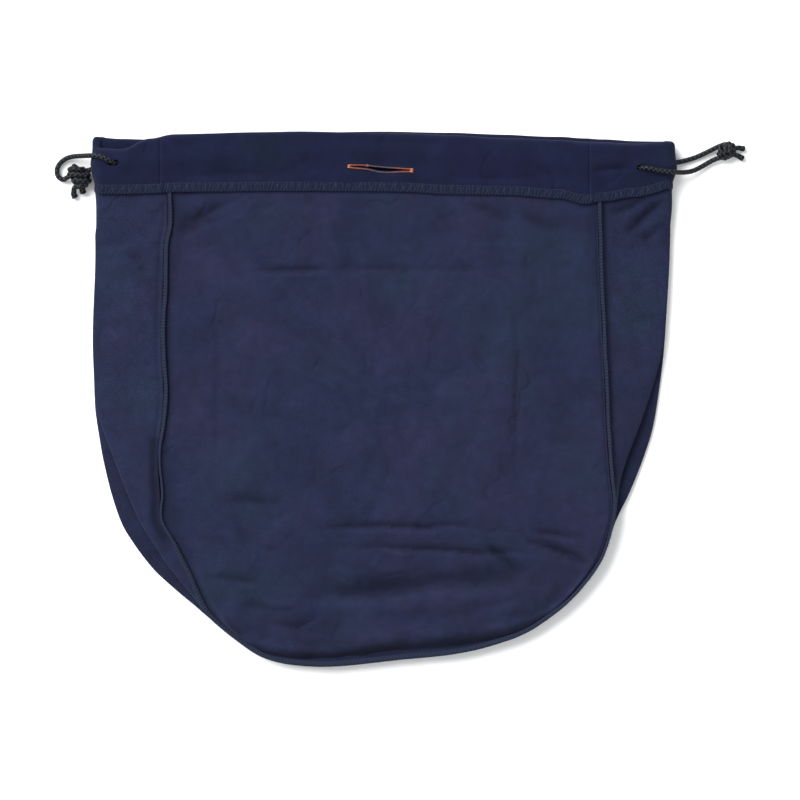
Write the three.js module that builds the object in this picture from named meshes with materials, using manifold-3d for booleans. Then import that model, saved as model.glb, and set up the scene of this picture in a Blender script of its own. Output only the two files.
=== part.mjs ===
// Drawstring bag for a motorcycle helmet, lying empty on its back.
// Millimetres: X runs across the bag, Y points to its mouth, and Z is up from the surface that it lies on.

import * as THREE from "three";
import { mergeVertices } from "three/addons/utils/BufferGeometryUtils.js";
import Module from "manifold-3d";

const wasm = await Module();
wasm.setup();

// Driving dimensions
const panelWidth = 344; // front panel at the hem, from seam to seam
const panelLength = 380; // casing's hem to the middle of the bottom seam
const gussetWidth = 117; // strip between the two panels, folded in half at the sides
const casingHeight = 46; // hem to the mouth's edge
const cloth = 1.2;
const clearance = 0.3; // between pieces that touch
const loft = 21.2; // casing's height over the surface at its middle
const sideLoft = 16; // casing's height at its side folds
const flatReach = 100; // half the width over which the casing keeps its full height
const ridgeWidth = 5.6; // overlocked seam allowance
const ridgeHeight = 1.8;
const slotDepth = 5; // how far the bag's edge stands in the casing's fold
const slotPlay = 0.6; // between the bag's edge and the casing's inner layer
const tunnelDepth = 7; // casing across both its layers
const pinchHeight = 6; // stretch over the hem where the casing is sewn together
const layerStep = 2.5; // between the mid-surfaces of cloth layers that lie on each other
const sideStep = 1.8; // the same where the gusset has only one fold
const sideRise = 3.6; // front seam at the sides, over its height at the bottom
const seamLand = 4; // level strip of a panel under the seam ridge
const leastReach = 2.6; // gusset's fold past the seam where it is tucked in
const edgeGap = 1; // from the seam's line to the edge of each cloth under the ridge
const ridgeClearance = 0.6; // front ridge over the cloth, which bends under it
const settleLength = 45; // below the hem, where the bag leaves the casing's form
const settleWidth = 26; // inside the seam, where the back panel comes down to the surface
const puff = 2.6; // front panel's middle over its rim
const creaseHeight = 2.2;
const creaseSpread = 11;
const puffReach = { across: 0.25, up: 0.22 }; // shares of the panel over which it rises from its rim
const creaseReach = 0.08; // the same for its creases
const riseReach = 0.45; // share of the panel's length over which the front seam gains its side rise
const foldRest = 30; // reach of the gusset's back fold at which it rests on the surface
const tuckRest = 10; // width of its tuck at which the tuck's layers lie apart
const floorGap = 0.1; // under the gusset's back fold
const frontSag = 0.45; // share of its fall that the gusset's front layer has at its middle
const foldBend = 0.04; // share of a tucked layer that bends beside its fold
const backLanding = { out: 0.4, down: 0.95 }; // where the gusset's back layer is nearly down
const cordDiameter = 4;
const holeLength = 12; // cord's buttonhole
const holeWidth = 5.6;
const slitLength = 48; // stitched slit in the front of the casing
const slitWidth = 1.8;
const slitTurn = -5.4; // its slope in degrees
const knotRadius = 6.6;
const knotShape = [1, 0.9, 0.85]; // knot's half sizes, as shares of its radius

// Derived sizes
const halfPanel = panelWidth / 2;
const halfGusset = gussetWidth / 2;
const seat = ridgeHeight + clearance; // cloth edge's depth under the casing's face
const slotLevel = seat + cloth / 2;
const innerLeg = seat + cloth + slotPlay; // casing's inner layer at the hem, below its face
const sideRadius = sideLoft / 2;
const foldDegrees = [90, 65, 42, 20, 0, -20, -42, -65, -90]; // gusset's points round a side fold
const halfWidth = halfPanel + halfGusset + slotLevel;
const foldCentre = halfWidth - sideRadius;
const halfLength = (panelLength + casingHeight + ridgeWidth / 2) / 2;
const bottomY = -halfLength + ridgeWidth / 2;
const hemY = bottomY + panelLength;
const topY = hemY + casingHeight;
const cordRadius = cordDiameter / 2;
const cordDepth = cloth + clearance + cordRadius; // cord's centre below the casing's face

// Seams, one row for each bend, from the left end of the mouth round the bottom to its right end.
// across: share of half the panel's width. up: share of the panel's length over the bottom seam.
// front, back: reach of the gusset's two outer folds past the seams, as shares of half its width.
const seamRows = [
  { across: -1.0, up: 1.0, front: 1.0, back: 1.0 },
  { across: -1.017, up: 0.82, front: 0.957, back: 0.957 },
  { across: -1.026, up: 0.685, front: 0.961, back: 0.961 },
  { across: -1.016, up: 0.557, front: 0.971, back: 0.971 },
  { across: -1.042, up: 0.436, front: 0.626, back: 0.783 },
  { across: -1.033, up: 0.357, front: 0.444, back: 0.68 },
  { across: -1.03, up: 0.304, front: 0.263, back: 0.489 },
  { across: -0.96, up: 0.243, front: 0.246, back: 0.427 },
  { across: -0.909, up: 0.197, front: 0.178, back: 0.321 },
  { across: -0.858, up: 0.146, front: 0.072, back: 0.168 },
  { across: -0.807, up: 0.106, front: 0, back: 0.044 },
  { across: -0.679, up: 0.055, front: 0, back: 0 },
  { across: -0.54, up: 0.016, front: 0, back: 0 },
  { across: -0.305, up: 0, front: 0, back: 0 },
  { across: 0.086, up: 0.015, front: 0, back: 0 },
  { across: 0.335, up: 0.027, front: 0, back: 0 },
  { across: 0.5, up: 0.044, front: 0, back: 0 },
  { across: 0.665, up: 0.073, front: 0, back: 0 },
  { across: 0.828, up: 0.125, front: 0, back: 0 },
  { across: 0.993, up: 0.216, front: 0, back: 0 },
  { across: 1.058, up: 0.296, front: 0, back: 0.034 },
  { across: 1.072, up: 0.34, front: 0.041, back: 0.14 },
  { across: 1.058, up: 0.403, front: 0.188, back: 0.359 },
  { across: 1.044, up: 0.489, front: 0.441, back: 0.564 },
  { across: 1.03, up: 0.649, front: 0.776, back: 0.776 },
  { across: 1.012, up: 0.822, front: 0.92, back: 0.92 },
  { across: 1.0, up: 1.0, front: 1.0, back: 1.0 },
];

// Edges of the casing. across: share of half the bag width. The drops are shares of the casing height.
const casingRows = [
  { across: -1.0, frontTop: 0.29, backTop: 0.09, frontHem: 0 },
  { across: -0.9, frontTop: 0.31, backTop: 0.12, frontHem: 0 },
  { across: -0.8, frontTop: 0.12, backTop: 0.13, frontHem: 0 },
  { across: -0.72, frontTop: 0.05, backTop: 0.04, frontHem: 0 },
  { across: -0.3, frontTop: 0.01, backTop: 0, frontHem: 0.02 },
  { across: 0.1, frontTop: 0.04, backTop: 0, frontHem: 0.02 },
  { across: 0.4, frontTop: 0.09, backTop: 0.05, frontHem: 0.04 },
  { across: 0.62, frontTop: 0.13, backTop: 0.09, frontHem: 0.13 },
  { across: 0.74, frontTop: 0.17, backTop: 0.13, frontHem: 0.21 },
  { across: 0.86, frontTop: 0.21, backTop: 0.17, frontHem: 0.11 },
  { across: 1.0, frontTop: 0.17, backTop: 0.17, frontHem: 0 },
];

// Creases of the front panel, each from one end to the other.
// across, up: as for the seams. rise, spread: shares of the crease height and spread.
const creaseRows = [
  { across: [-0.6, 0.61], up: [0.824, 0.824], rise: 0.35, spread: 0.8 },
  { across: [0.61, 0.61], up: [0.824, 0.334], rise: 0.35, spread: 0.8 },
  { across: [-0.39, 0.4], up: [0.296, 0.286], rise: 0.4, spread: 0.9 },
  { across: [-0.16, 0.96], up: [0.245, 0.255], rise: 0.5, spread: 0.9 },
  { across: [-0.39, 0.4], up: [0.146, 0.136], rise: 1.0, spread: 1.0 },
  { across: [0.4, 0.78], up: [0.136, 0.19], rise: 0.9, spread: 0.9 },
  { across: [-0.68, -0.49], up: [0.352, 0.34], rise: -0.7, spread: 1.0 },
  { across: [0.54, 0.61], up: [0.225, 0.19], rise: 0.6, spread: 0.8 },
  { across: [0.36, 0.65], up: [0.972, 0.917], rise: 0.5, spread: 1.1 },
  { across: [0.59, 0.86], up: [0.954, 0.887], rise: 0.6, spread: 1.1 },
  { across: [-0.68, -0.94], up: [0.98, 0.92], rise: 0.5, spread: 1.1 },
];

// Free cords and the tails of their knots: points chosen along each route, as [x, y, z].
const cordRoutes = {
  left_front: [
    [-206.5, 188.4, 12.9],
    [-209.6, 188.6, 13.9],
    [-212.4, 188.9, 16.0],
    [-215.6, 189.8, 18.0],
    [-219.5, 191.4, 18.6],
    [-224.6, 193.2, 18.4],
    [-230.5, 194.4, 16.9],
    [-236.6, 194.6, 13.0],
    [-242.4, 194.5, 8.6],
    [-248.4, 194.2, 5.0],
    [-254.2, 192.6, 3.0],
    [-259.0, 189.0, 2.2],
    [-261.8, 183.8, 2.1],
    [-261.0, 178.2, 2.2],
    [-256.6, 174.8, 2.8],
    [-250.9, 175.9, 3.9],
  ],
  left_back: [
    [-235.2, 183.6, 4.2],
    [-232.0, 184.4, 3.8],
    [-228.6, 184.8, 3.6],
  ],
  right_front: [
    [197.8, 184.8, 13.0],
    [200.8, 184.8, 14.2],
    [203.6, 184.8, 16.3],
    [206.8, 184.6, 18.3],
    [211.0, 184.1, 18.8],
    [217.0, 183.1, 18.6],
    [223.4, 182.0, 18.5],
    [229.6, 181.4, 17.6],
    [235.6, 181.2, 13.4],
    [241.6, 181.4, 9.2],
    [248.0, 182.8, 5.6],
    [255.4, 186.4, 3.4],
    [262.2, 190.9, 3.2],
    [268.8, 195.1, 4.4],
  ],
  right_back: [
    [267.7, 199.9, 4.6],
    [260.0, 197.6, 2.8],
    [250.8, 193.9, 2.1],
    [243.0, 191.3, 2.3],
    [236.6, 189.8, 3.1],
    [228.6, 188.8, 3.6],
  ],
  left_tail: [
    [-246.0, 177.0, 5.2],
    [-249.6, 171.0, 3.4],
    [-248.6, 165.2, 2.2],
    [-246.0, 160.8, 2.1],
  ],
  left_short_tail: [
    [-241.0, 177.0, 5.0],
    [-241.6, 171.0, 3.2],
    [-240.6, 165.4, 2.1],
  ],
  right_tail: [
    [277.0, 199.5, 5.2],
    [283.6, 201.2, 3.4],
    [289.0, 200.4, 2.1],
  ],
  right_short_tail: [
    [277.0, 197.0, 5.0],
    [283.0, 195.2, 3.2],
    [288.0, 192.6, 2.1],
  ],
};
const knotPlaces = { left: [-242.8, 180.6, 6.2], right: [274.8, 198.6, 6.2] };

// Places on the casing. across: share of half the bag width. up: share of the casing height over its hem.
const slitPlace = { across: -0.0103, up: 0.3565 };
const frontHoles = [
  { across: -0.9108, up: 0.4457 },
  { across: 0.8731, up: 0.3565 },
];
const foldHoles = [
  { side: -1, up: 0.3565 },
  { side: 1, up: 0.4435 },
];

// Cords inside the casing, from hole to hole
const frontRun = [
  { across: -0.875, up: 0.435 },
  { across: -0.729, up: 0.47 },
  { across: -0.472, up: 0.557 },
  { across: -0.214, up: 0.6 },
  { across: 0.086, up: 0.6 },
  { across: 0.343, up: 0.557 },
  { across: 0.557, up: 0.47 },
  { across: 0.729, up: 0.383 },
  { across: 0.836, up: 0.3565 },
];
const backRun = [
  { across: -0.965, up: 0.361 },
  { across: -0.815, up: 0.404 },
  { across: -0.515, up: 0.535 },
  { across: -0.172, up: 0.6 },
  { across: 0.172, up: 0.6 },
  { across: 0.515, up: 0.557 },
  { across: 0.815, up: 0.47 },
  { across: 0.965, up: 0.4435 },
];

// Section of a seam ridge, as shares of half its width and of its height
const ridgeOutline = [
  { out: -1, up: 0.15 },
  { out: -1, up: 0.6 },
  { out: -0.55, up: 1 },
  { out: 0.55, up: 1 },
  { out: 1, up: 0.6 },
  { out: 1, up: 0.15 },
  { out: 0, up: 0 },
];

// Facets: grid lines, stations and steps along each piece
const frontPanelGrid = { columns: 22, rows: 24 };
const backPanelGrid = { columns: 13, rows: 15 };
const gussetStations = 46;
const frontSeamStations = 58;
const backSeamStations = 46;
const casingStations = { front: 30, fold: 7, back: 16 };
const cordSides = 8;
const freeCordSteps = { left_front: 16, left_back: 2, right_front: 14, right_back: 8 };
const heldCordSteps = { front: 30, back: 28 };
const tailSteps = 5;
const knotFacets = { round: 12, rings: 8 };

// Finishes
const cottonTwill = { color: 0x2f354b, roughness: 0.92, metalness: 0 };
const twillReverse = { color: 0x242942, roughness: 0.88, metalness: 0 };
const seamThread = { color: 0x2a3150, roughness: 0.8, metalness: 0 };
const braidedCord = { color: 0x1b1d20, roughness: 0.7, metalness: 0 };

const group = new THREE.Group();

// Small helpers
function smooth(t) {
  const share = Math.min(1, Math.max(0, t));
  return share * share * (3 - 2 * share);
}

function mix(from, to, share) {
  return from + (to - from) * share;
}

function columnAt(rows, across, column) {
  const last = rows.length - 1;
  const place = Math.min(rows[last].across, Math.max(rows[0].across, across));
  const next = Math.max(1, rows.findIndex((row) => row.across >= place));
  const low = rows[next - 1];
  const high = rows[next];
  return mix(low[column], high[column], smooth((place - low.across) / (high.across - low.across)));
}

// Shares at which a grid has its lines: a narrow strip at each end, the rest even
function gridShares(count, first, last) {
  const inner = Array.from({ length: count - 2 }, (unused, i) => mix(first, 1 - last, i / (count - 3)));
  return [0, ...inner, 1];
}

// A named mesh from points and quads or triangles, with its faces turned outwards.
function addSolid(name, points, faces, finish) {
  const triangles = [];
  for (const face of faces) {
    for (let i = 2; i < face.length; i += 1) triangles.push([face[0], face[i - 1], face[i]]);
  }
  let volume = 0;
  const turned = new THREE.Vector3();
  for (const [a, b, c] of triangles) volume += points[a].dot(turned.crossVectors(points[b], points[c]));
  if (volume < 0) triangles.forEach((triangle) => triangle.reverse());
  const geometry = new THREE.BufferGeometry();
  geometry.setFromPoints(points);
  geometry.setIndex(triangles.flat());
  return addMesh(name, geometry, finish);
}

function addMesh(name, geometry, finish) {
  geometry.computeVertexNormals();
  const mesh = new THREE.Mesh(geometry, new THREE.MeshStandardMaterial(finish));
  mesh.name = name;
  group.add(mesh);
  return mesh;
}

// A closed wall of one cloth's thickness round a grid of points on its mid-surface.
function addSheet(name, grid, finish) {
  const rows = grid.length;
  const columns = grid[0].length;
  const points = [];
  for (const side of [cloth / 2, -cloth / 2]) {
    for (let i = 0; i < rows; i += 1) {
      for (let j = 0; j < columns; j += 1) {
        const alongRow = grid[i][Math.min(columns - 1, j + 1)].clone().sub(grid[i][Math.max(0, j - 1)]);
        const alongColumn = grid[Math.min(rows - 1, i + 1)][j].clone().sub(grid[Math.max(0, i - 1)][j]);
        const normal = alongRow.cross(alongColumn).normalize();
        points.push(grid[i][j].clone().addScaledVector(normal, side));
      }
    }
  }
  const at = (layer, i, j) => (layer * rows + i) * columns + j;
  const faces = [];
  for (let i = 1; i < rows; i += 1) {
    for (let j = 1; j < columns; j += 1) {
      faces.push([at(0, i - 1, j - 1), at(0, i - 1, j), at(0, i, j), at(0, i, j - 1)]);
      faces.push([at(1, i - 1, j - 1), at(1, i, j - 1), at(1, i, j), at(1, i - 1, j)]);
    }
    faces.push([at(0, i - 1, 0), at(0, i, 0), at(1, i, 0), at(1, i - 1, 0)]);
    const end = columns - 1;
    faces.push([at(0, i, end), at(0, i - 1, end), at(1, i - 1, end), at(1, i, end)]);
  }
  for (let j = 1; j < columns; j += 1) {
    faces.push([at(0, 0, j), at(0, 0, j - 1), at(1, 0, j - 1), at(1, 0, j)]);
    faces.push([at(0, rows - 1, j - 1), at(0, rows - 1, j), at(1, rows - 1, j), at(1, rows - 1, j - 1)]);
  }
  return addSolid(name, points, faces, finish);
}

// A bar through closed sections, with flat ends, or a ring where the last section meets the first.
function sectionSolid(sections, closed) {
  const corners = sections[0].length;
  const faces = [];
  const count = closed ? sections.length : sections.length - 1;
  for (let i = 0; i < count; i += 1) {
    const next = (i + 1) % sections.length;
    for (let j = 0; j < corners; j += 1) {
      const side = (j + 1) % corners;
      faces.push([i * corners + j, next * corners + j, next * corners + side, i * corners + side]);
    }
  }
  if (!closed) {
    const first = sections[0].map((point, j) => j);
    const last = first.map((j) => (sections.length - 1) * corners + j);
    faces.push(first, last.reverse());
  }
  return { points: sections.flat(), faces };
}

// Mouth of the bag, seen along Y: a flat loop with round side folds, at a depth below the casing's face
function faceHeight(x) {
  return mix(loft, sideLoft, smooth((Math.abs(x) - flatReach) / (foldCentre - flatReach)));
}

function frontLoop(x, depth) {
  return { x, z: faceHeight(x) - depth };
}

function foldLoop(side, degrees, depth) {
  const angle = THREE.MathUtils.degToRad(degrees);
  const radius = sideRadius - depth;
  return { x: side * (foldCentre + radius * Math.cos(angle)), z: sideRadius + radius * Math.sin(angle) };
}

// A place on the casing, in millimetres
function casingPlace({ across, up }) {
  return { x: across * halfWidth, y: hemY + up * casingHeight };
}

function frontHemAt(x) {
  return hemY - casingHeight * columnAt(casingRows, x / halfWidth, "frontHem");
}

// Seam curves of the front and the back: the same rows, ending in the casing's fold at the hem of each side
function seamCurve(hemAt) {
  const places = seamRows.map((row) => {
    const x = row.across * halfPanel;
    return new THREE.Vector3(x, mix(bottomY, hemAt(x), row.up), 0);
  });
  const folds = seamRows.map((row) => new THREE.Vector3(row.front, row.back, 0));
  const inSlot = (place) => place.clone().setY(hemAt(place.x) + slotDepth);
  const last = places.length - 1;
  const line = [inSlot(places[0]), ...places, inSlot(places[last])];
  const reaches = [folds[0].clone(), ...folds, folds[last].clone()];
  return { line: new THREE.CatmullRomCurve3(line), folds: new THREE.CatmullRomCurve3(reaches) };
}

const frontSeam = seamCurve(frontHemAt);
const backSeam = seamCurve(() => hemY);

// Place, outward direction and fold reaches at a share of a seam's length. The direction is taken over a
// stretch of seam, so that the gusset's folds run smoothly past its small bends.
const turnShare = 0.03;

function seamAt(seam, share) {
  const place = seam.line.getPointAt(share);
  const ahead = seam.line.getPointAt(Math.min(1, share + turnShare));
  const along = ahead.sub(seam.line.getPointAt(Math.max(0, share - turnShare))).normalize();
  const out = new THREE.Vector3(along.y, -along.x, 0);
  const folds = seam.folds.getPoint(seam.line.getUtoTmapping(share));
  return {
    place,
    out,
    front: Math.max(leastReach, folds.x * halfGusset),
    back: Math.max(leastReach, folds.y * halfGusset),
  };
}

const seamLength = frontSeam.line.getLength();
const slotShare = (slotDepth + seamLand) / seamLength;

// How far the bag has left the casing's form at a place below the hem, from 0 to 1
function settled(y, hem) {
  return smooth((hem - seamLand - y) / settleLength);
}

// Mid-surface of the cloth along the seams: the lowest stack of layers at the bottom, higher at the sides
const backEdge = slotLevel;
const bottomEdge = backEdge + 3 * layerStep;

function frontEdge(place) {
  const up = (place.y - bottomY) / panelLength;
  const free = bottomEdge + sideRise * smooth(up / riseReach);
  return mix(faceHeight(place.x) - slotLevel, free, settled(place.y, frontHemAt(place.x)));
}

// Gusset: each station is a section from the front seam over two outer folds and a tuck to the back seam
function gussetSection(share) {
  const front = seamAt(frontSeam, share);
  const back = seamAt(backSeam, share);
  const inner = Math.min(front.back, front.front + front.back - halfGusset);
  const tuck = Math.min(1, (back.back - inner) / tuckRest);
  const step = mix(sideStep, layerStep, tuck) / 2;
  const floor = mix(backEdge, cloth / 2 + floorGap, smooth(back.back / foldRest));
  const lowered = floor + 2 * step;
  const raised = backEdge + 2 * step;
  const fold = mix(lowered, raised, smooth((back.back - inner) / foldRest));
  const softFront = Math.min(step, Math.max(0, (front.front - inner) / 2));
  const softBack = Math.min(step, Math.max(0, (back.back - inner) / 2));
  const rim = frontEdge(front.place);
  const free = [
    { out: edgeGap, z: rim },
    { out: mix(edgeGap, front.front - step, 0.5), z: mix(rim, fold + 4 * step, frontSag) },
    { out: front.front - step, z: fold + 4 * step },
    { out: front.front, z: fold + 3 * step },
    { out: front.front - softFront, z: fold + 2 * step },
    { out: mix(inner, front.front, foldBend), z: fold + 2 * step },
    { out: inner, z: fold + step },
    { out: mix(inner, back.back, foldBend), z: fold },
    { out: back.back - softBack, z: floor + 2 * step },
    { out: back.back, z: floor + step },
    { out: back.back - step, z: floor },
    { out: mix(edgeGap, back.back, backLanding.out), z: mix(backEdge, floor, backLanding.down) },
    { out: edgeGap, z: backEdge },
  ];
  const flat = foldCentre - halfPanel;
  const held = [
    { out: edgeGap, z: faceHeight(halfPanel + edgeGap) - slotLevel },
    { out: flat / 2, z: faceHeight(halfPanel + flat / 2) - slotLevel },
    ...foldDegrees.map((degrees) => {
      const loop = foldLoop(1, degrees, slotLevel);
      return { out: loop.x - halfPanel, z: loop.z };
    }),
    { out: flat / 2, z: backEdge },
    { out: edgeGap, z: backEdge },
  ];
  const loose = settled(back.place.y, hemY);
  return free.map((point, j) => {
    const toBack = Math.min(1, j / 2); // the first points follow the front seam
    const place = front.place.clone().lerp(back.place, toBack);
    const out = front.out.clone().lerp(back.out, toBack).normalize();
    place.addScaledVector(out, mix(held[j].out, point.out, loose));
    place.z = mix(held[j].z, point.z, loose);
    return place;
  });
}

addSheet("gusset", gridShares(gussetStations, slotShare, slotShare).map(gussetSection), cottonTwill);

// Panels: a patch between the two side seams, the bottom seam and the hem
const leftCorner = 0.385;
const rightCorner = 0.648;

function patch(u, v, left, right, bottom, top) {
  const sides = left(v) * (1 - u) + right(v) * u;
  const ends = top(u) * (1 - v) + bottom(u) * v;
  const corners = (top(0) * (1 - u) + top(1) * u) * (1 - v) + (bottom(0) * (1 - u) + bottom(1) * u) * v;
  return sides + ends - corners;
}

function panelEdges(seam, axis, hemAt) {
  const edge = (share) => {
    const station = seamAt(seam, share);
    return station.place.addScaledVector(station.out, -edgeGap)[axis];
  };
  const firstX = seam.line.getPointAt(0).x + edgeGap;
  const lastX = seam.line.getPointAt(1).x - edgeGap;
  const top = (u) => {
    const x = mix(firstX, lastX, u);
    return axis === "x" ? x : hemAt(x) + slotDepth;
  };
  return {
    left: (v) => edge(v * leftCorner),
    right: (v) => edge(1 - v * (1 - rightCorner)),
    bottom: (u) => edge(mix(leftCorner, rightCorner, u)),
    top,
  };
}

function panelPoint(edgesX, edgesY, u, v) {
  const x = patch(u, v, edgesX.left, edgesX.right, edgesX.bottom, edgesX.top);
  const y = patch(u, v, edgesY.left, edgesY.right, edgesY.bottom, edgesY.top);
  return new THREE.Vector3(x, y, 0);
}

const landAcross = seamLand / panelWidth;
const landUp = seamLand / panelLength;
const slotUp = (slotDepth + seamLand) / panelLength;

function inside(share, first, last) {
  return Math.min(1, Math.max(0, (share - first) / (1 - first - last)));
}

function creaseRise(point) {
  let rise = 0;
  for (const row of creaseRows) {
    const from = new THREE.Vector2(row.across[0] * halfPanel, mix(bottomY, hemY, row.up[0]));
    const along = new THREE.Vector2(row.across[1] * halfPanel, mix(bottomY, hemY, row.up[1])).sub(from);
    const place = new THREE.Vector2(point.x, point.y).sub(from);
    const share = Math.min(1, Math.max(0, place.dot(along) / along.lengthSq()));
    const away = place.distanceTo(along.multiplyScalar(share)) / (row.spread * creaseSpread);
    rise += row.rise * creaseHeight * Math.exp(-away * away);
  }
  return rise;
}

function addFrontPanel({ columns, rows }) {
  const edgesX = panelEdges(frontSeam, "x", frontHemAt);
  const edgesY = panelEdges(frontSeam, "y", frontHemAt);
  const height = (share) => frontEdge(frontSeam.line.getPointAt(share));
  const topHeight = (u) => faceHeight(edgesX.top(u)) - slotLevel;
  const grid = gridShares(rows, slotUp, landUp).map((v) =>
    gridShares(columns, landAcross, landAcross).map((u) => {
      const point = panelPoint(edgesX, edgesY, u, v);
      const across = inside(u, landAcross, landAcross);
      const down = inside(v, slotUp, landUp);
      const rim = patch(
        across,
        down,
        (share) => height(share * leftCorner),
        (share) => height(1 - share * (1 - rightCorner)),
        (share) => height(mix(leftCorner, rightCorner, share)),
        topHeight,
      );
      const inwards = smooth(Math.min(across, 1 - across) / puffReach.across);
      const upwards = smooth(Math.min(down, 1 - down) / puffReach.up);
      const creased = smooth(Math.min(across, 1 - across, down, 1 - down) / creaseReach);
      point.z = rim + puff * inwards * upwards + creaseRise(point) * creased;
      return point;
    }),
  );
  addSheet("front_panel", grid, cottonTwill);
}

function addBackPanel({ columns, rows }) {
  const edgesX = panelEdges(backSeam, "x", () => hemY);
  const edgesY = panelEdges(backSeam, "y", () => hemY);
  const grid = gridShares(rows, slotUp, landUp).map((v) =>
    gridShares(columns, landAcross, landAcross).map((u) => {
      const point = panelPoint(edgesX, edgesY, u, v);
      const across = inside(u, landAcross, landAcross);
      const down = inside(v, slotUp, landUp);
      const rim = Math.min(Math.min(across, 1 - across) * panelWidth, Math.min(down, 1 - down) * panelLength);
      point.z = mix(backEdge, cloth / 2, smooth(rim / settleWidth));
      return point;
    }),
  );
  addSheet("back_panel", grid, cottonTwill);
}

addFrontPanel(frontPanelGrid);
addBackPanel(backPanelGrid);

// Seam ridges: the overlocked allowance stands over each joint of panel and gusset
function addRidge(name, seam, stations, base, rise) {
  const first = (slotDepth + 3 * clearance) / seamLength;
  const sections = gridShares(stations, first + slotShare, first + slotShare)
    .map((share) => Math.min(1 - first, Math.max(first, share)))
    .map((share) => {
      const station = seamAt(seam, share);
      return ridgeOutline.map(({ out, up }) => {
        const point = station.place.clone().addScaledVector(station.out, (out * ridgeWidth) / 2);
        point.z = base(station.place) + rise * up * ridgeHeight;
        return point;
      });
    });
  const bar = sectionSolid(sections, false);
  return addSolid(name, bar.points, bar.faces, seamThread);
}

const ridgeBase = (place) => frontEdge(place) + cloth / 2 + ridgeClearance;
addRidge("front_seam", frontSeam, frontSeamStations, ridgeBase, 1);
addRidge("back_seam", backSeam, backSeamStations, () => backEdge - cloth / 2 - clearance, -1);

// Casing: doubled cloth round the mouth, open at the hem, where it holds the bag's edge
function casingSection(x, face, hem, top) {
  const bend = tunnelDepth / 2;
  const low = hem + pinchHeight;
  const high = low + pinchHeight;
  const quarter = bend * (1 - Math.SQRT1_2);
  const outline = [
    [0, hem],
    [0, low],
    [0, top - bend],
    [quarter, top - quarter],
    [bend, top],
    [tunnelDepth - quarter, top - quarter],
    [tunnelDepth, top - bend],
    [tunnelDepth, high],
    [innerLeg + cloth, low],
    [innerLeg + cloth, hem],
    [innerLeg, hem],
    [innerLeg, low],
    [tunnelDepth - cloth, high],
    [tunnelDepth - cloth, top - bend],
    [bend, top - cloth],
    [cloth, top - bend],
    [cloth, hem],
  ];
  return outline.map(([depth, y]) => {
    const place = face(depth);
    return new THREE.Vector3(place.x, y, place.z);
  });
}

function casingSections() {
  const sections = [];
  const dropped = (x, column) => casingHeight * columnAt(casingRows, x / halfWidth, column);
  for (let i = 0; i < casingStations.front; i += 1) {
    const x = mix(-foldCentre, foldCentre, i / casingStations.front);
    sections.push(casingSection(x, (depth) => frontLoop(x, depth), frontHemAt(x), topY - dropped(x, "frontTop")));
  }
  addFold(1);
  for (let i = 0; i < casingStations.back; i += 1) {
    const x = mix(foldCentre, -foldCentre, i / casingStations.back);
    sections.push(casingSection(x, (depth) => ({ x, z: depth }), hemY, topY - dropped(x, "backTop")));
  }
  addFold(-1);
  return sections;

  function addFold(side) {
    const x = side * halfWidth;
    for (let i = 0; i < casingStations.fold; i += 1) {
      const turned = i / casingStations.fold;
      const degrees = side * mix(90, -90, turned);
      const down = side > 0 ? turned : 1 - turned;
      const top = topY - mix(dropped(x, "frontTop"), dropped(x, "backTop"), down);
      const hem = mix(frontHemAt(x), hemY, down);
      sections.push(casingSection(x, (depth) => foldLoop(side, degrees, depth), hem, top));
    }
  }
}

function solidFrom(geometry) {
  const bare = geometry.clone();
  bare.deleteAttribute("normal");
  bare.deleteAttribute("uv");
  const merged = mergeVertices(bare, 1e-4);
  const vertProperties = new Float32Array(merged.attributes.position.array);
  const triVerts = new Uint32Array(merged.index.array);
  return new wasm.Manifold(new wasm.Mesh({ numProp: 3, vertProperties, triVerts }));
}

function geometryFrom(solid) {
  const mesh = solid.getMesh();
  const geometry = new THREE.BufferGeometry();
  geometry.setAttribute("position", new THREE.BufferAttribute(new Float32Array(mesh.vertProperties), 3));
  geometry.setIndex(new THREE.BufferAttribute(new Uint32Array(mesh.triVerts), 1));
  return geometry;
}

function boxAt(width, length, height, x, y, z, turn) {
  const box = new THREE.BoxGeometry(width, length, height);
  box.rotateZ(THREE.MathUtils.degToRad(turn));
  box.translate(x, y, z);
  return solidFrom(box);
}

function addCasing() {
  const ring = sectionSolid(casingSections(), true);
  const mesh = addSolid("casing", ring.points, ring.faces, twillReverse);
  let solid = solidFrom(mesh.geometry);
  const cutDepth = 4 * cloth;
  const middle = cutDepth / 2 - cloth - clearance; // a cut through the outer layer alone
  for (const { x, y } of frontHoles.map(casingPlace)) {
    solid = solid.subtract(boxAt(holeLength, holeWidth, cutDepth, x, y, faceHeight(x) + middle, 0));
  }
  for (const { side, up } of foldHoles) {
    const { x, y } = casingPlace({ across: side, up });
    const inset = x - side * (cloth + clearance + cordDepth / 2 - cutDepth / 2);
    solid = solid.subtract(boxAt(cutDepth + cordDepth, holeWidth, holeWidth, inset, y, cordDepth, 0));
  }
  const slit = casingPlace(slitPlace);
  const slitZ = faceHeight(slit.x) + middle;
  solid = solid.subtract(boxAt(slitLength, slitWidth, cutDepth, slit.x, slit.y, slitZ, slitTurn));
  mesh.geometry = geometryFrom(solid);
  mesh.geometry.computeVertexNormals();
}

addCasing();

// Cords
function tube(points, steps) {
  const section = new THREE.Shape();
  for (let i = 0; i < cordSides; i += 1) {
    const angle = (2 * Math.PI * i) / cordSides;
    const corner = [cordRadius * Math.cos(angle), cordRadius * Math.sin(angle)];
    if (i === 0) section.moveTo(...corner);
    else section.lineTo(...corner);
  }
  section.closePath();
  const path = new THREE.CatmullRomCurve3(points.map((point) => new THREE.Vector3(...point)));
  return new THREE.ExtrudeGeometry(section, { steps, bevelEnabled: false, extrudePath: path });
}

for (const [name, steps] of Object.entries(freeCordSteps)) {
  addMesh("cord_" + name, tube(cordRoutes[name], steps), braidedCord);
}

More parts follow.
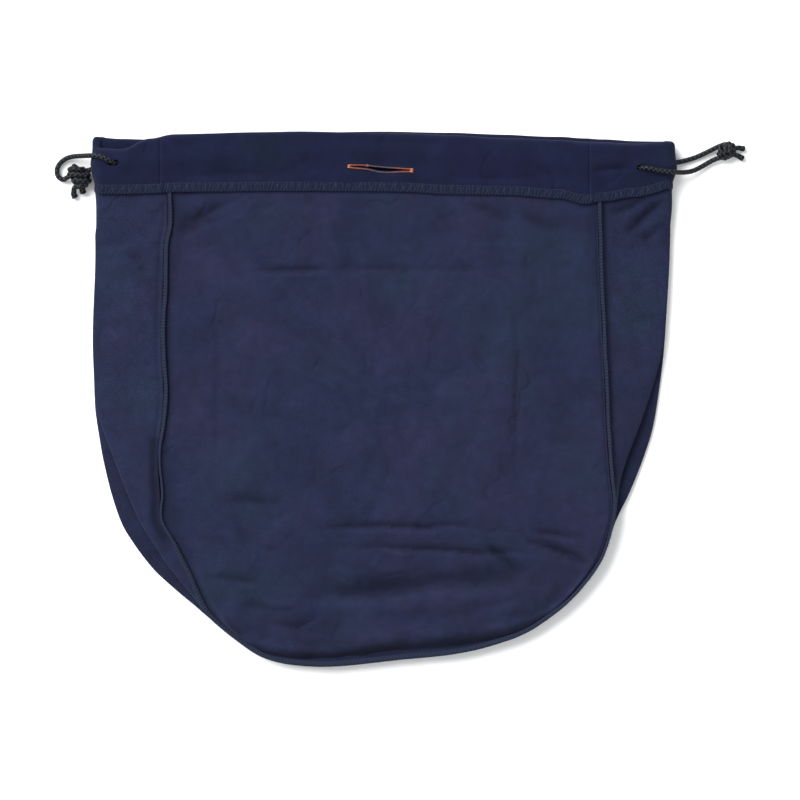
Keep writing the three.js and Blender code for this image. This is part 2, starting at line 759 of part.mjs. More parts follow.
// Hidden stretches inside the casing
function heldRoute(run, level) {
  return run.map(casingPlace).map(({ x, y }) => [x, y, level(x)]);
}

const frontHeld = heldRoute(frontRun, (x) => faceHeight(x) - cordDepth);
const backHeld = heldRoute(backRun, () => cordDepth);
addMesh("drawcord_front", tube(frontHeld, heldCordSteps.front), braidedCord);
addMesh("drawcord_back", tube(backHeld, heldCordSteps.back), braidedCord);

// Knots: the two ends wound round each other, with their tails
function addKnot(name, place, tails) {
  const core = new THREE.SphereGeometry(knotRadius, knotFacets.round, knotFacets.rings);
  core.scale(...knotShape);
  core.translate(...place);
  let solid = solidFrom(core);
  for (const tail of tails) solid = solid.add(solidFrom(tube(tail, tailSteps)));
  addMesh(name, geometryFrom(solid), braidedCord);
}

addKnot("knot_left", knotPlaces.left, [cordRoutes.left_tail, cordRoutes.left_short_tail]);
addKnot("knot_right", knotPlaces.right, [cordRoutes.right_tail, cordRoutes.right_short_tail]);

export default group;
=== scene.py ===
import math

import bmesh
import bpy
import numpy as np
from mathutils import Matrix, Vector, noise


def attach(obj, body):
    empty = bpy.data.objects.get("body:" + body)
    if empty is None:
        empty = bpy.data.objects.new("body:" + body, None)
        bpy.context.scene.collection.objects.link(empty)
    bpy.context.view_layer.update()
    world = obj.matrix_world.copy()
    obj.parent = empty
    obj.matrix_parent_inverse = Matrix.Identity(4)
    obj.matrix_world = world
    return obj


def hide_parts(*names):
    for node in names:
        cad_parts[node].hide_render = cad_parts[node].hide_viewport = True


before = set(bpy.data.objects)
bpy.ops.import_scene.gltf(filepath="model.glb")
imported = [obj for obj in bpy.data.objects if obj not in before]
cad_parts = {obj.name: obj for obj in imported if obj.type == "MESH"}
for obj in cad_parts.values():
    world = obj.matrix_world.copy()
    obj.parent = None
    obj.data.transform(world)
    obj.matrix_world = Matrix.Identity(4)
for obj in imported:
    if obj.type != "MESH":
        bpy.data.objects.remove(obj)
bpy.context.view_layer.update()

bl_info = {
    "name": "Helmet bag",
    "version": (1, 0, 0),
    "blender": (4, 5, 0),
    "location": "3D View > Sidebar > Helmet Bag",
    "description": "Makes a cotton drawstring bag for a motorcycle helmet, lying flat on its back",
    "category": "Object",
}

# Metres: X runs across the bag, Y points to its mouth, and Z is up from the surface that it lies on.
MM = 0.001

# The stage: the floor's height and half its side, and the camera's place, lens and sensor.
FLOOR_LEVEL, FLOOR_REACH = -0.0006, 4.0
CAMERA_PLACE, CAMERA_LENS, CAMERA_SENSOR = (0.0132, -0.0008, 5.01), 281.25, 36.0
# Lights: name, where from, spread in degrees and strength.
LIGHTS = [("window", (-2.2, 2.0, 2.7), 46, 5.3), ("bounce", (2.2, -1.4, 2.4), 60, 0.3)]
ROOM_COLOUR, ROOM_STRENGTH = (0.95, 0.97, 1.0, 1.0), 0.8

# Grid lines across and along each cloth, stations along a seam's ridge, and steps along a cord.
FRONT_GRID, BACK_GRID, GUSSET_LINES, RIDGE_LINES, CORD_STEP = (196, 208), (110, 116), 460, 620, 0.5 * MM

# Seams from the left end of the mouth round the bottom to its right end.
# across: share of half the panel's width. up: share of the panel's length over the bottom seam.
# front, back: reach of the gusset's two outer folds past the seams, as shares of half its width.
SEAM_ROWS = [
    (-1.0, 1.0, 1.0, 1.0),
    (-0.996, 0.93, 1.007, 1.007),
    (-1.012, 0.89, 0.962, 0.962),
    (-1.017, 0.82, 0.957, 0.957),
    (-1.026, 0.685, 0.961, 0.961),
    (-1.016, 0.557, 0.971, 0.971),
    (-1.042, 0.436, 0.626, 0.783),
    (-1.033, 0.357, 0.444, 0.68),
    (-1.03, 0.304, 0.263, 0.52),
    (-0.96, 0.243, 0.246, 0.46),
    (-0.909, 0.197, 0.178, 0.35),
    (-0.858, 0.146, 0.072, 0.168),
    (-0.807, 0.106, 0, 0.044),
    (-0.679, 0.055, 0, 0),
    (-0.54, 0.016, 0, 0),
    (-0.305, 0, 0, 0),
    (0.086, 0.015, 0, 0),
    (0.335, 0.027, 0, 0),
    (0.5, 0.044, 0, 0),
    (0.665, 0.073, 0, 0),
    (0.828, 0.125, 0, 0),
    (0.993, 0.216, 0, 0),
    (1.058, 0.296, 0, 0.034),
    (1.072, 0.34, 0.041, 0.14),
    (1.058, 0.403, 0.188, 0.39),
    (1.044, 0.489, 0.441, 0.62),
    (1.03, 0.649, 0.79, 0.81),
    (1.012, 0.822, 0.935, 0.935),
    (1.0, 1.0, 1.0, 1.0),
]

# Edges of the casing: share of half the bag's width, then drops as shares of the casing's height.
CASING_COLUMNS = ("across", "front_top", "back_top", "front_hem")
CASING_ROWS = [
    (-1.0, 0.29, 0.09, 0.09),
    (-0.9, 0.31, 0.12, 0.09),
    (-0.8, 0.12, 0.13, 0.08),
    (-0.72, 0.05, 0.04, 0.055),
    (-0.3, 0.01, 0, 0.042),
    (0.05, 0.035, 0, 0.052),
    (0.23, 0.075, 0.02, 0.1),
    (0.42, 0.12, 0.05, 0.115),
    (0.6, 0.16, 0.09, 0.17),
    (0.69, 0.19, 0.12, 0.265),
    (0.75, 0.2, 0.14, 0.22),
    (0.86, 0.22, 0.17, 0.14),
    (1.0, 0.17, 0.17, 0),
]

# Creases: rise, half width and skew, then points along it, all in millimetres but the skew.
# A skewed crease has a bulge beside its valley, on the side to the right of its direction.
PANEL_CREASES = [
    (-3.0, 2.6, 0.5, [(-110, 101.2), (-76, 102), (-34, 102.4)]),
    (-1.6, 2.6, 0.5, [(-70, 102.4), (10, 102.4), (105, 101.6)]),
    (-1.5, 2.6, 0.4, [(105, 101), (106, 10), (104, -85)]),
    (-1.0, 3, 0.4, [(-136, 100), (-134, 0), (-136, -85)]),
    (-3.6, 4.2, 0.5, [(-165, 137), (-142, 146), (-116, 160)]),
    (-2.4, 3.6, 0.4, [(-166, 128), (-144, 139), (-118, 146)]),
    (-3.2, 5, 0.5, [(62, 158), (86, 148), (112, 137)]),
    (-2.8, 5, 0.5, [(101, 151), (124, 140), (148, 126)]),
    (-2.6, 3.8, 0.3, [(-136, -80), (-108, -82.5), (-78, -85)]),
    (-3.4, 2.8, 0.6, [(-64, -106), (-24, -104), (40, -103), (92, -104)]),
    (-3.2, 2.8, 0.6, [(-48, -119), (26, -121), (86, -124), (132, -124)]),
    (-4.2, 2.8, 0.5, [(78, -114), (92, -125), (104, -136), (113, -144)]),
    (-3.4, 3, 0.5, [(114, -106), (140, -109), (164, -113)]),
    (-4.6, 3.2, 0.6, [(112, -114), (132, -119), (151, -127), (172, -138)]),
    (-6.1, 7, 0.7, [(-75, -160), (-35, -158.4), (13, -154), (45, -150), (109, -146.4), (136, -140)]),
    (2.6, 9, 0, [(-60, -170), (0, -168), (70, -162), (120, -154)]),
    (-2.2, 7, 0.5, [(-110, -190), (-60, -196), (0, -196)]),
    (1.9, 7, 0.2, [(30, -184), (80, -176), (120, -164)]),
    (-1.6, 9, 0.2, [(40, -140), (90, -140), (136, -134)]),
    (-2.6, 3.4, 0.5, [(-142, -142), (-118, -146), (-90, -152)]),
    (-2.6, 4.4, 0.4, [(-104, -176), (-60, -184), (-20, -180)]),
    (-2.2, 4.4, -0.4, [(-116, -160), (-90, -168), (-60, -166)]),
    (-1.3, 4, 0.4, [(-122, -96), (-112, -110), (-104, -124)]),
    (-1.1, 5, 0.4, [(60, -170), (96, -164), (124, -152)]),
]
GUSSET_CREASES = [
    (-4.6, 3.4, 0.5, [(231, 165), (213, 152), (190, 130)]),
    (-3.4, 3, 0.4, [(224, 141), (212, 132), (204, 122)]),
    (-3.0, 3.4, -0.4, [(212, 164), (196, 152), (176, 146)]),
    (-2.4, 4, 0.4, [(-206, 117), (-198, 112), (-190, 108)]),
    (-2.2, 3.4, 0.4, [(-198, 105), (-188, 100)]),
    (-1.3, 5, 0.4, [(-226, 118), (-210, 124), (-196, 126)]),
]

CASING_CREASES = [
    (-2.8, 2.4, 0.5, [(164, 182.4), (184, 183), (203, 183.6)]),
    (-2.0, 4, 0.4, [(-170, 176), (-120, 178), (-60, 176)]),
    (-1.9, 4, 0.4, [(40, 176), (90, 175), (150, 170)]),
    (-1.0, 3, 0.4, [(-232, 184), (-216, 187), (-208, 188)]),
    (-0.8, 5, 0.4, [(-60, 206), (0, 203), (60, 204)]),
]

# Widths of the front seam's ridge and its lean, by the height on the left and on the right side.
LEFT_RIDGE = [(-125, 0.9, 0.4), (-110, 0.5, -0.4), (-36, 0.4, -0.6), (-24, 0.7, -1), (180, 0.78, -1)]
RIGHT_RIDGE = [(-188, 0.9, 0.5), (-160, 0.62, 0.6), (-100, 0.55, 0.8), (-60, 0.62, 0.8), (180, 0.66, 1)]

# Half a seam ridge's thickness, as a share of the seam allowance's width.
RIDGE_SHARE = 0.38

# Uneven waves of the cloth: height in millimetres, wavelength in metres and seed.
PANEL_WAVES = [(2.0, 0.085, 11), (1.9, 0.036, 12), (0.5, 0.014, 13)]
GUSSET_WAVES = [(1.8, 0.06, 31), (1.0, 0.024, 32), (0.3, 0.011, 33)]
CASING_WAVES = [(2.0, 0.055, 51), (1.3, 0.022, 52), (0.3, 0.009, 54)]

# The slit's lips: share of its half length, then each lip's offset in millimetres.
SLIT_LIPS = [
    (-1.0, 0.8, -0.8), (-0.75, 1.2, -1.1), (-0.42, 1.5, -1.3), (-0.25, 1.2, -2.0), (-0.05, 1.1, -2.9),
    (0.25, 0.9, -2.9), (0.6, 0.9, -1.7), (1.0, 0.8, -0.8),
]
# Its middle across the bag, which its worn thread is measured from, and its tilt in degrees.
SLIT_MIDDLE, SLIT_DEGREES = -0.0024, -3.8

# Section of the overlocked band: share of its rise off the cloth, then height over the hem in millimetres.
BAND_SECTION = [(0.1, -0.4), (0.75, -0.5), (1, 0.4)]

# The braid: length of one pass of a strand, strands each way and its steepness.
BRAID_PASS, BRAID_STRANDS, BRAID_SLOPE = 7.2 * MM, 3, 1.5

# Free cords and the tails of their knots: points along each route, in millimetres.
CORD_ROUTES = {
    "left_front": [
        (-209.6, 188.4, 12.6), (-212.8, 188.6, 13.7), (-215.6, 189.0, 15.9), (-218.4, 190.0, 17.9),
        (-221.4, 191.5, 18.6), (-225.4, 193.2, 18.4), (-230.5, 194.4, 16.9), (-236.6, 194.6, 13.0),
        (-242.4, 194.5, 8.6), (-248.4, 194.2, 5.0), (-254.2, 192.6, 3.0), (-259.0, 189.0, 2.2),
        (-261.6, 183.8, 2.1), (-260.4, 178.0, 2.2), (-256.4, 175.8, 2.8), (-251.6, 178.4, 4.4),
    ],
    "left_back": [(-235.2, 183.6, 4.2), (-232.0, 184.4, 3.8), (-228.6, 184.8, 3.6)],
    "right_front": [
        (201.4, 184.8, 12.7), (204.4, 184.8, 13.9), (207.0, 184.8, 16.1), (209.8, 184.6, 18.1),
        (213.0, 184.1, 18.8), (217.0, 183.1, 18.6), (223.4, 182.0, 18.5), (229.6, 181.4, 17.6),
        (235.6, 181.2, 13.4), (241.6, 181.4, 9.2), (248.0, 182.8, 5.6), (255.4, 186.4, 3.4),
        (262.2, 190.4, 3.2), (268.6, 193.0, 4.2), (274.6, 193.6, 5.0), (278.6, 195.6, 5.4),
    ],
    "right_back": [
        (280.0, 199.0, 5.6), (278.5, 202.4, 5.6), (274.6, 204.0, 5.2), (269.4, 202.6, 4.2),
        (261.0, 198.6, 2.8), (250.8, 193.9, 2.1), (243.0, 191.3, 2.3),
        (236.6, 189.8, 3.1), (228.6, 188.8, 3.6),
    ],
    "left_tail": [(-247.0, 169.6, 5.0), (-248.0, 166.6, 3.6), (-248.0, 163.8, 2.7), (-247.0, 161.4, 2.3)],
    "left_short_tail": [(-241.8, 170.0, 5.0), (-241.2, 167.6, 3.6), (-240.6, 165.2, 2.5)],
    "right_tail": [(277.0, 199.5, 5.2), (283.6, 201.2, 3.4), (289.0, 200.4, 2.1)],
    "right_short_tail": [(277.0, 197.0, 5.0), (283.0, 195.2, 3.2), (288.0, 192.6, 2.1)],
}
# Each knot: its middle, the direction from its cords to its tails, its length, half its width
# at its head and at its foot, and the thickness of its strands.
KNOTS = {
    "left": ((-243.4, 177.6, 6.4), (0.1, -0.99, 0), 19, 9.2, 6.2, 4.4),
    "right": ((274.8, 198.6, 6.2), (0.99, 0.1, 0), 15, 6.0, 5.6, 4.0),
}

# Places on the casing: share of half the bag's width, share of the casing's height over its hem.
SLIT_PLACE = (-0.0103, 0.342)
FRONT_HOLES = [(-0.926, 0.4457), (0.888, 0.3565)]
# Half the straight part of a cord hole, and the radii of its round ends across and up.
HOLE_RUN, HOLE_RADIUS = 2.2 * MM, (2.3 * MM, 2.2 * MM)
# The cord's path behind the front of the casing, which stands up a little over it.
FRONT_RUN = [
    (-0.875, 0.435), (-0.729, 0.47), (-0.472, 0.557), (-0.214, 0.6), (0.086, 0.6),
    (0.343, 0.557), (0.557, 0.47), (0.729, 0.383), (0.836, 0.3565),
]


def linear(code):
    """Turns an sRGB hex value into linear red, green and blue."""
    shares = [(code >> shift & 255) / 255 for shift in (16, 8, 0)]
    return [c / 12.92 if c <= 0.04045 else ((c + 0.055) / 1.055) ** 2.4 for c in shares]


def length(name, description, millimetres):
    return bpy.props.FloatProperty(
        name=name, description=description, default=millimetres * MM, unit="LENGTH", precision=4
    )


def colour(name, description, code):
    return bpy.props.FloatVectorProperty(
        name=name, description=description, default=linear(code), subtype="COLOR", size=3
    )


class HelmetBagSizes(bpy.types.PropertyGroup):
    """Sizes of the bag, its cords and its stitches."""

    panel_width: length("Panel width", "Front panel at the hem, from seam to seam", 344)
    panel_length: length("Panel length", "Casing's hem to the middle of the bottom seam", 380)
    gusset_width: length("Gusset width", "Strip between the panels, folded at the sides", 117)
    casing_height: length("Casing height", "Hem to the mouth's edge", 46)
    layer: length("Layer", "Room that one layer of cloth takes up", 1.2)
    wall: length("Cloth", "Thickness of the cloth as drawn", 0.9)
    clearance: length("Clearance", "Between pieces that touch", 0.3)
    loft: length("Loft", "Casing's height over the surface at its middle", 21.2)
    side_loft: length("Side loft", "Casing's height at its side folds", 16)
    flat_reach: length("Flat reach", "Half the width over which the casing keeps its height", 100)
    ridge_width: length("Ridge width", "Overlocked seam allowance", 5.6)
    ridge_height: length("Ridge height", "Seam allowance over the cloth", 1.8)
    slot_depth: length("Slot depth", "How far the bag's edge stands in the casing", 5)
    slot_play: length("Slot play", "Between the bag's edge and the casing's inner layer", 0.6)
    tunnel_depth: length("Tunnel depth", "Casing across both its layers", 7)
    pinch_height: length("Pinch height", "Stretch over the hem where the casing is sewn", 6)
    puff: length("Puff", "Front panel's middle over its rim", 2.6)
    cord_diameter: length("Cord diameter", "Braided drawcord", 4)
    slit_length: length("Slit length", "Stitched slit in the front of the casing", 50)
    overlock_pitch: length("Overlock pitch", "From one overlock stitch to the next", 2.6)
    hem_pitch: length("Hem pitch", "From one straight stitch to the next", 3.2)
    satin_pitch: length("Satin pitch", "From one turn of the slit's stitching to the next", 0.55)
    band: length("Overlock band", "Width of the overlocking along the casing's hem", 6.6)
    thread: length("Thread", "Thickness of the sewing thread", 0.38)


class HelmetBagColours(bpy.types.PropertyGroup):
    """Colours of the cloth, the thread, the cord and the stage."""

    twill: colour("Twill", "Face of the navy cloth", 0x181D33)
    twill_warm: colour("Twill, warm", "Cast of the cloth where it faded to violet", 0x1B1D33)
    twill_cool: colour("Twill, cool", "Cast of the cloth where it faded to teal", 0x182033)
    reverse: colour("Reverse", "Back of the navy cloth, on the casing", 0x0D1228)
    reverse_warm: colour("Reverse, warm", "Cast of the casing towards violet", 0x0F122A)
    reverse_cool: colour("Reverse, cool", "Cast of the casing towards teal", 0x0D1528)
    seam_thread: colour("Seam thread", "Overlock thread", 0x19212F)
    hem_thread: colour("Hem thread", "Overlock thread on the hem, dulled by wear", 0x151E34)
    cord_dark: colour("Cord, dark", "Grooves of the braid", 0x030304)
    # a painted highlight on the braid's crowns
    cord_painted_highlight: colour("Cord, light", "Crowns of the braid", 0x383C44)
    orange: colour("Orange thread", "Thread round the slit", 0x954320)
    orange_knot: colour("Orange thread, bunched", "Thread piled up at the slit's ends", 0xC67044)
    orange_pale: colour("Orange thread, worn", "Thread that the cord has rubbed pale", 0x4D3942)
    floor: colour("Floor", "Surface that the bag lies on", 0xF8F8F6)


def smooth(t):
    share = np.clip(t, 0, 1)
    return share * share * (3 - 2 * share)


def mix(start, stop, share):
    return start + (stop - start) * share


def hump(value, centre, width):
    """1 at the centre, and falling off like a bell on both sides of it."""
    return np.exp(-(((value - centre) / width) ** 2))


def travelled(path):
    """How far along a path each of its points is."""
    return np.concatenate([[0], np.cumsum(np.linalg.norm(np.diff(path, axis=0), axis=1))])


def catmull(points, t):
    """Points on a centripetal Catmull-Rom curve at each t from 0 to 1."""
    points = np.asarray(points, float)
    last = len(points) - 1
    place = np.clip(np.asarray(t, float) * last, 0, last)
    index = np.minimum(place.astype(int), last - 1)
    weight = (place - index)[:, None]
    ends = np.vstack([2 * points[0] - points[1], points, 2 * points[-1] - points[-2]])
    p0, p1, p2, p3 = (ends[index + step] for step in range(4))
    tiny = 1e-6

    def knot_gap(a, b):
        return np.sqrt(np.linalg.norm(b - a, axis=1, keepdims=True))

    middle = knot_gap(p1, p2)
    middle = np.where(middle < tiny, 1.0, middle)
    before = knot_gap(p0, p1)
    before = np.where(before < tiny, middle, before)
    after = knot_gap(p2, p3)
    after = np.where(after < tiny, middle, after)
    leave = ((p1 - p0) / before - (p2 - p0) / (before + middle) + (p2 - p1) / middle) * middle
    arrive = ((p2 - p1) / middle - (p3 - p1) / (middle + after) + (p3 - p2) / after) * middle
    square = -3 * p1 + 3 * p2 - 2 * leave - arrive
    cube = 2 * p1 - 2 * p2 + leave + arrive
    return p1 + weight * (leave + weight * (square + weight * cube))


class Route:
    """A smooth curve through points, read by share of its length."""

    def __init__(self, points, samples=3000):
        self.points = np.asarray(points, float)
        self.steps = np.linspace(0, 1, samples)
        self.travel = travelled(catmull(self.points, self.steps))
        self.length = self.travel[-1]

    def step_at(self, share):
        return np.interp(np.asarray(share) * self.length, self.travel, self.steps)

    def at(self, share):
        return catmull(self.points, self.step_at(np.atleast_1d(share)))


def corner_cut(grid, times):
    """Rounds the lines along a grid's second axis by cutting their corners, with the end points left in place.
    """
    for _ in range(times):
        near = 0.75 * grid[:, :-1] + 0.25 * grid[:, 1:]
        far = 0.25 * grid[:, :-1] + 0.75 * grid[:, 1:]
        pairs = np.stack([near, far], axis=2).reshape(len(grid), -1, 3)
        grid = np.concatenate([grid[:, :1], pairs[:, 1:-1], grid[:, -1:]], axis=1)
    return grid


def ripple(points, wavelength, seed):
    """Soft noise between about -1 and 1 at each point, with bumps of about the wavelength."""
    flat = points.reshape(-1, points.shape[-1])[:, :2] / wavelength
    values = [noise.noise(Vector((x, y, seed * 7.31))) for x, y in flat]
    return np.array(values).reshape(points.shape[:-1])


def waves(points, rows):
    """The sum of several ripples, each given by its height, wavelength and seed."""
    return sum(height * ripple(points, wavelength, seed) for height, wavelength, seed in rows)


def crease_relief(grid, rows, places=48):
    """Height of the creases at each place of a grid, in metres."""
    wander = np.stack([ripple(grid, 0.03, 3), ripple(grid, 0.03, 4)], axis=-1)
    bent = grid[..., :2] + 1.6 * MM * wander
    relief = np.zeros(grid.shape[:2])
    for rise, width, skew, points in rows:
        line = Route(np.array([(x, y, 0) for x, y in points]) * MM, 400).at(np.linspace(0, 1, places))[:, :2]
        along = np.gradient(line, axis=0)
        along /= np.linalg.norm(along, axis=1, keepdims=True)
        away = ((bent[..., None, :] - line) ** 2).sum(axis=-1)
        near = away.argmin(axis=-1)
        to = bent - line[near]
        side = np.sign(along[near, 1] * to[..., 0] - along[near, 0] * to[..., 1])
        off = np.sqrt(away.min(axis=-1)) / (width * MM)
        share = near / (places - 1)
        # how strongly each crease shows, tapering off towards its ends
        painted_light_and_taper = smooth(share / 0.4) * smooth((1 - share) / 0.4)
        relief += rise * MM * painted_light_and_taper * np.exp(-off ** 1.35) * (1 - 1.7 * skew * side * off)
    return relief


def softened(values, window):
    """Evens out a row of values with a moving average, with the end values held."""
    held = np.pad(values, window, mode="edge")
    return np.convolve(held, np.ones(2 * window + 1) / (2 * window + 1), "valid")


class BagForm:
    """Where the cloth lies: seams, folds and heights, worked out from the sizes."""

    edge_gap = 1 * MM
    seam_land = 4 * MM
    least_reach = 2.6 * MM
    layer_step = 2.5 * MM
    side_step = 1.8 * MM
    side_rise = 3.6 * MM
    settle_length = 45 * MM
    settle_width = 26 * MM
    fold_rest = 30 * MM
    tuck_rest = 10 * MM
    floor_gap = 0.1 * MM
    rise_reach = 0.45
    turn_share = 0.03
    left_corner = 0.385
    right_corner = 0.648
    casing_joins = (-178.5 * MM, 164.5 * MM)
    on_edge_from = -116 * MM
    on_edge_to = -28 * MM
    on_edge_ease = 8 * MM

    def __init__(self, sizes):
        self.s = s = sizes
        self.half_panel = s.panel_width / 2
        self.half_gusset = s.gusset_width / 2
        self.slot_level = s.ridge_height + s.clearance + s.layer / 2
        self.inner_leg = s.ridge_height + s.clearance + s.layer + s.slot_play
        self.side_radius = s.side_loft / 2
        self.half_width = self.half_panel + self.half_gusset + self.slot_level
        self.fold_centre = self.half_width - self.side_radius
        half_length = (s.panel_length + s.casing_height + s.ridge_width / 2) / 2
        self.bottom_y = -half_length + s.ridge_width / 2
        self.hem_y = self.bottom_y + s.panel_length
        self.top_y = self.hem_y + s.casing_height
        self.back_edge = self.slot_level
        self.bottom_edge = self.back_edge + 3 * self.layer_step
        self.front_seam = self.seam_curve(self.front_hem)
        self.back_seam = self.seam_curve(self.back_hem)
        self.seam_length = self.front_seam[0].length
        self.slot_share = (s.slot_depth + self.seam_land) / self.seam_length

    def casing_edge(self, x, name):
        rows = np.array(CASING_ROWS)
        across, values = rows[:, 0], rows[:, CASING_COLUMNS.index(name)]
        place = np.clip(np.asarray(x, float) / self.half_width, across[0], across[-1])
        after = np.clip(np.searchsorted(across, place), 1, len(across) - 1)
        share = (place - across[after - 1]) / (across[after] - across[after - 1])
        return mix(values[after - 1], values[after], smooth(share))

    def front_hem(self, x):
        return self.hem_y - self.s.casing_height * self.casing_edge(x, "front_hem")

    def back_hem(self, x):
        return self.hem_y + 0 * np.asarray(x, float)

    def edge_on(self, grid):
        """1 on the lower left, where the front seam stands on its edge."""
        y = grid[..., 1]
        below = smooth((self.on_edge_to - y) / self.on_edge_ease)
        return below * smooth((y - self.on_edge_from) / self.on_edge_ease) * (grid[..., 0] < 0)

    def drawn_in(self, x, y):
        """The casing's places across, a little narrower at its hem."""
        low = smooth((self.hem_y + 16 * MM - y) / (16 * MM))
        return x - np.sign(x) * 2.2 * MM * low * smooth((np.abs(x) - self.fold_centre) / self.side_radius)

    def casing_place(self, across, up):
        return across * self.half_width, self.hem_y + up * self.s.casing_height

    def face_height(self, x):
        reach = (np.abs(x) - self.s.flat_reach) / (self.fold_centre - self.s.flat_reach)
        return mix(self.s.loft, self.s.side_loft, smooth(reach))

    def seam_curve(self, hem):
        rows = np.array(SEAM_ROWS)
        x = rows[:, 0] * self.half_panel
        places = np.stack([x, mix(self.bottom_y, hem(x), rows[:, 1]), 0 * x], axis=1)
        folds = np.pad(rows[:, 2:], ((1, 1), (0, 0)), mode="edge")
        lifted = places[[0, -1]].copy()
        lifted[:, 1] = hem(lifted[:, 0]) + self.s.slot_depth
        return Route([lifted[0], *places, lifted[1]]), folds

    def seam_at(self, seam, share):
        """Place, outward direction and fold reaches at each share of a seam's length."""
        route, folds = seam
        share = np.atleast_1d(np.asarray(share, float))
        ahead = route.at(np.minimum(1, share + self.turn_share))
        along = ahead - route.at(np.maximum(0, share - self.turn_share))
        along /= np.linalg.norm(along, axis=1, keepdims=True)
        out = np.stack([along[:, 1], -along[:, 0], 0 * along[:, 0]], axis=1)
        reach = np.maximum(self.least_reach, catmull(folds, route.step_at(share)) * self.half_gusset)
        # along a whole seam the folds are evened out, and single places keep theirs
        if len(share) > 100:
            reach = np.stack([softened(reach[:, k], 5) for k in (0, 1)], axis=1)
        return route.at(share), out, reach

    def settled(self, y, hem):
        return smooth((hem - self.seam_land - y) / self.settle_length)

    def front_edge(self, place):
        x, y = place[..., 0], place[..., 1]
        up = (y - self.bottom_y) / self.s.panel_length
        free = self.bottom_edge + self.side_rise * smooth(up / self.rise_reach)
        held = self.face_height(x) - self.slot_level
        return mix(held, free, self.settled(y, self.front_hem(x)))

    def fold_loop(self, degrees, depth):
        angle = np.radians(degrees)
        radius = self.side_radius - depth
        return self.fold_centre + radius * np.cos(angle), self.side_radius + radius * np.sin(angle)

    def gusset_sections(self, share):
        """The gusset's sections: from the front seam over two outer folds and a tuck to the back seam."""
        place_f, out_f, reach_f = self.seam_at(self.front_seam, share)
        place_b, out_b, reach_b = self.seam_at(self.back_seam, share)
        front, back = reach_f[:, 0], reach_b[:, 1]
        inner = np.minimum(back, front + back - self.half_gusset)
        tuck = np.minimum(1, (back - inner) / self.tuck_rest)
        step = mix(self.side_step, self.layer_step, tuck) / 2
        rest = self.s.layer / 2 + self.floor_gap
        floor = mix(self.back_edge, rest, smooth(back / self.fold_rest))
        fold = mix(floor, self.back_edge, smooth((back - inner) / self.fold_rest)) + 2 * step
        soft_front = np.minimum(step, np.maximum(0, (front - inner) / 2))
        soft_back = np.minimum(step, np.maximum(0, (back - inner) / 2))
        edge, rim = self.edge_gap, self.front_edge(place_f)
        level = self.back_edge + 0 * rim
        free = [
            (edge + 0 * rim, rim),
            (mix(edge, front - step, 0.5), mix(rim, fold + 4 * step, 0.45)),
            (front - step, fold + 4 * step),
            (front, fold + 3 * step),
            (front - soft_front, fold + 2 * step),
            (mix(inner, front, 0.04), fold + 2 * step),
            (inner, fold + step),
            (mix(inner, back, 0.04), fold),
            (back - soft_back, floor + 2 * step),
            (back, floor + step),
            (back - step, floor),
            (mix(edge, back, 0.4), mix(self.back_edge, floor, 0.95)),
            (edge + 0 * rim, level),
        ]
        flat = self.fold_centre - self.half_panel
        held = [
            (edge, self.face_height(self.half_panel + edge) - self.slot_level),
            (flat / 2, self.face_height(self.half_panel + flat / 2) - self.slot_level),
        ]
        for degrees in (90, 65, 42, 20, 0, -20, -42, -65, -90):
            x, z = self.fold_loop(degrees, self.slot_level)
            held.append((x - self.half_panel, z))
        held += [(flat / 2, self.back_edge), (edge, self.back_edge)]
        loose = self.settled(place_b[:, 1], self.hem_y)
        columns = []
        for j, ((out, z), (held_out, held_z)) in enumerate(zip(free, held)):
            to_back = min(1, j / 2)
            point = mix(place_f, place_b, to_back)
            outward = mix(out_f, out_b, to_back)
            outward /= np.linalg.norm(outward, axis=1, keepdims=True)
            point = point + outward * mix(held_out, out, loose)[:, None]
            point[:, 2] = mix(held_z, z, loose)
            columns.append(point)
        return np.stack(columns, axis=1)

    def panel_shares(self):
        """Shares of a panel's width and length under its seams, and of its length under the casing."""
        s = self.s
        up = self.seam_land / s.panel_length
        return self.seam_land / s.panel_width, up, (s.slot_depth + self.seam_land) / s.panel_length

    def panel_patch(self, seam, hem, u, v):
        """Places of a panel's grid, from its seams and hem, and its free part's shares across and down."""

        def edge(share):
            place, out, _ = self.seam_at(seam, share)
            return place - out * self.edge_gap

        def top(share):
            x = mix(first, last, np.atleast_1d(share))
            return np.stack([x, hem(x) + self.s.slot_depth, 0 * x], axis=1)

        def bottom(share):
            return edge(mix(self.left_corner, self.right_corner, np.atleast_1d(share)))

        first = seam[0].at(0)[0, 0] + self.edge_gap
        last = seam[0].at(1)[0, 0] - self.edge_gap
        left = edge(v * self.left_corner)[:, None]
        right = edge(1 - v * (1 - self.right_corner))[:, None]
        land_across, land_up, slot_up = self.panel_shares()
        across, down = inside(u, land_across, land_across), inside(v, slot_up, land_up)
        return self.coons(u, v, left, right, bottom, top), across, down

    @staticmethod
    def coons(u, v, left, right, bottom, top):
        across = u[None, :, None]
        down = v[:, None, None]
        sides = mix(left, right, across)
        ends = mix(top(u)[None], bottom(u)[None], down)
        upper = mix(top(0)[:, None], top(1)[:, None], across)
        lower = mix(bottom(0)[:, None], bottom(1)[:, None], across)
        return sides + ends - mix(upper, lower, down)


def grid_shares(count, first, last):
    """Shares for grid lines: a narrow strip at each end, and the rest even."""
    return np.concatenate([[0], np.linspace(first, 1 - last, count - 2), [1]])


def close_ends(count, length):
    """Shares for grid lines: close together near both ends, and the rest even."""
    near = np.array([0, 0.8, 1.6, 2.4, 3.2, 4, 5, 6.2, 7.6]) * MM / length
    middle = np.linspace(near[-1], 1 - near[-1], count - 16)[1:-1]
    return np.concatenate([near, middle, 1 - near[::-1]])


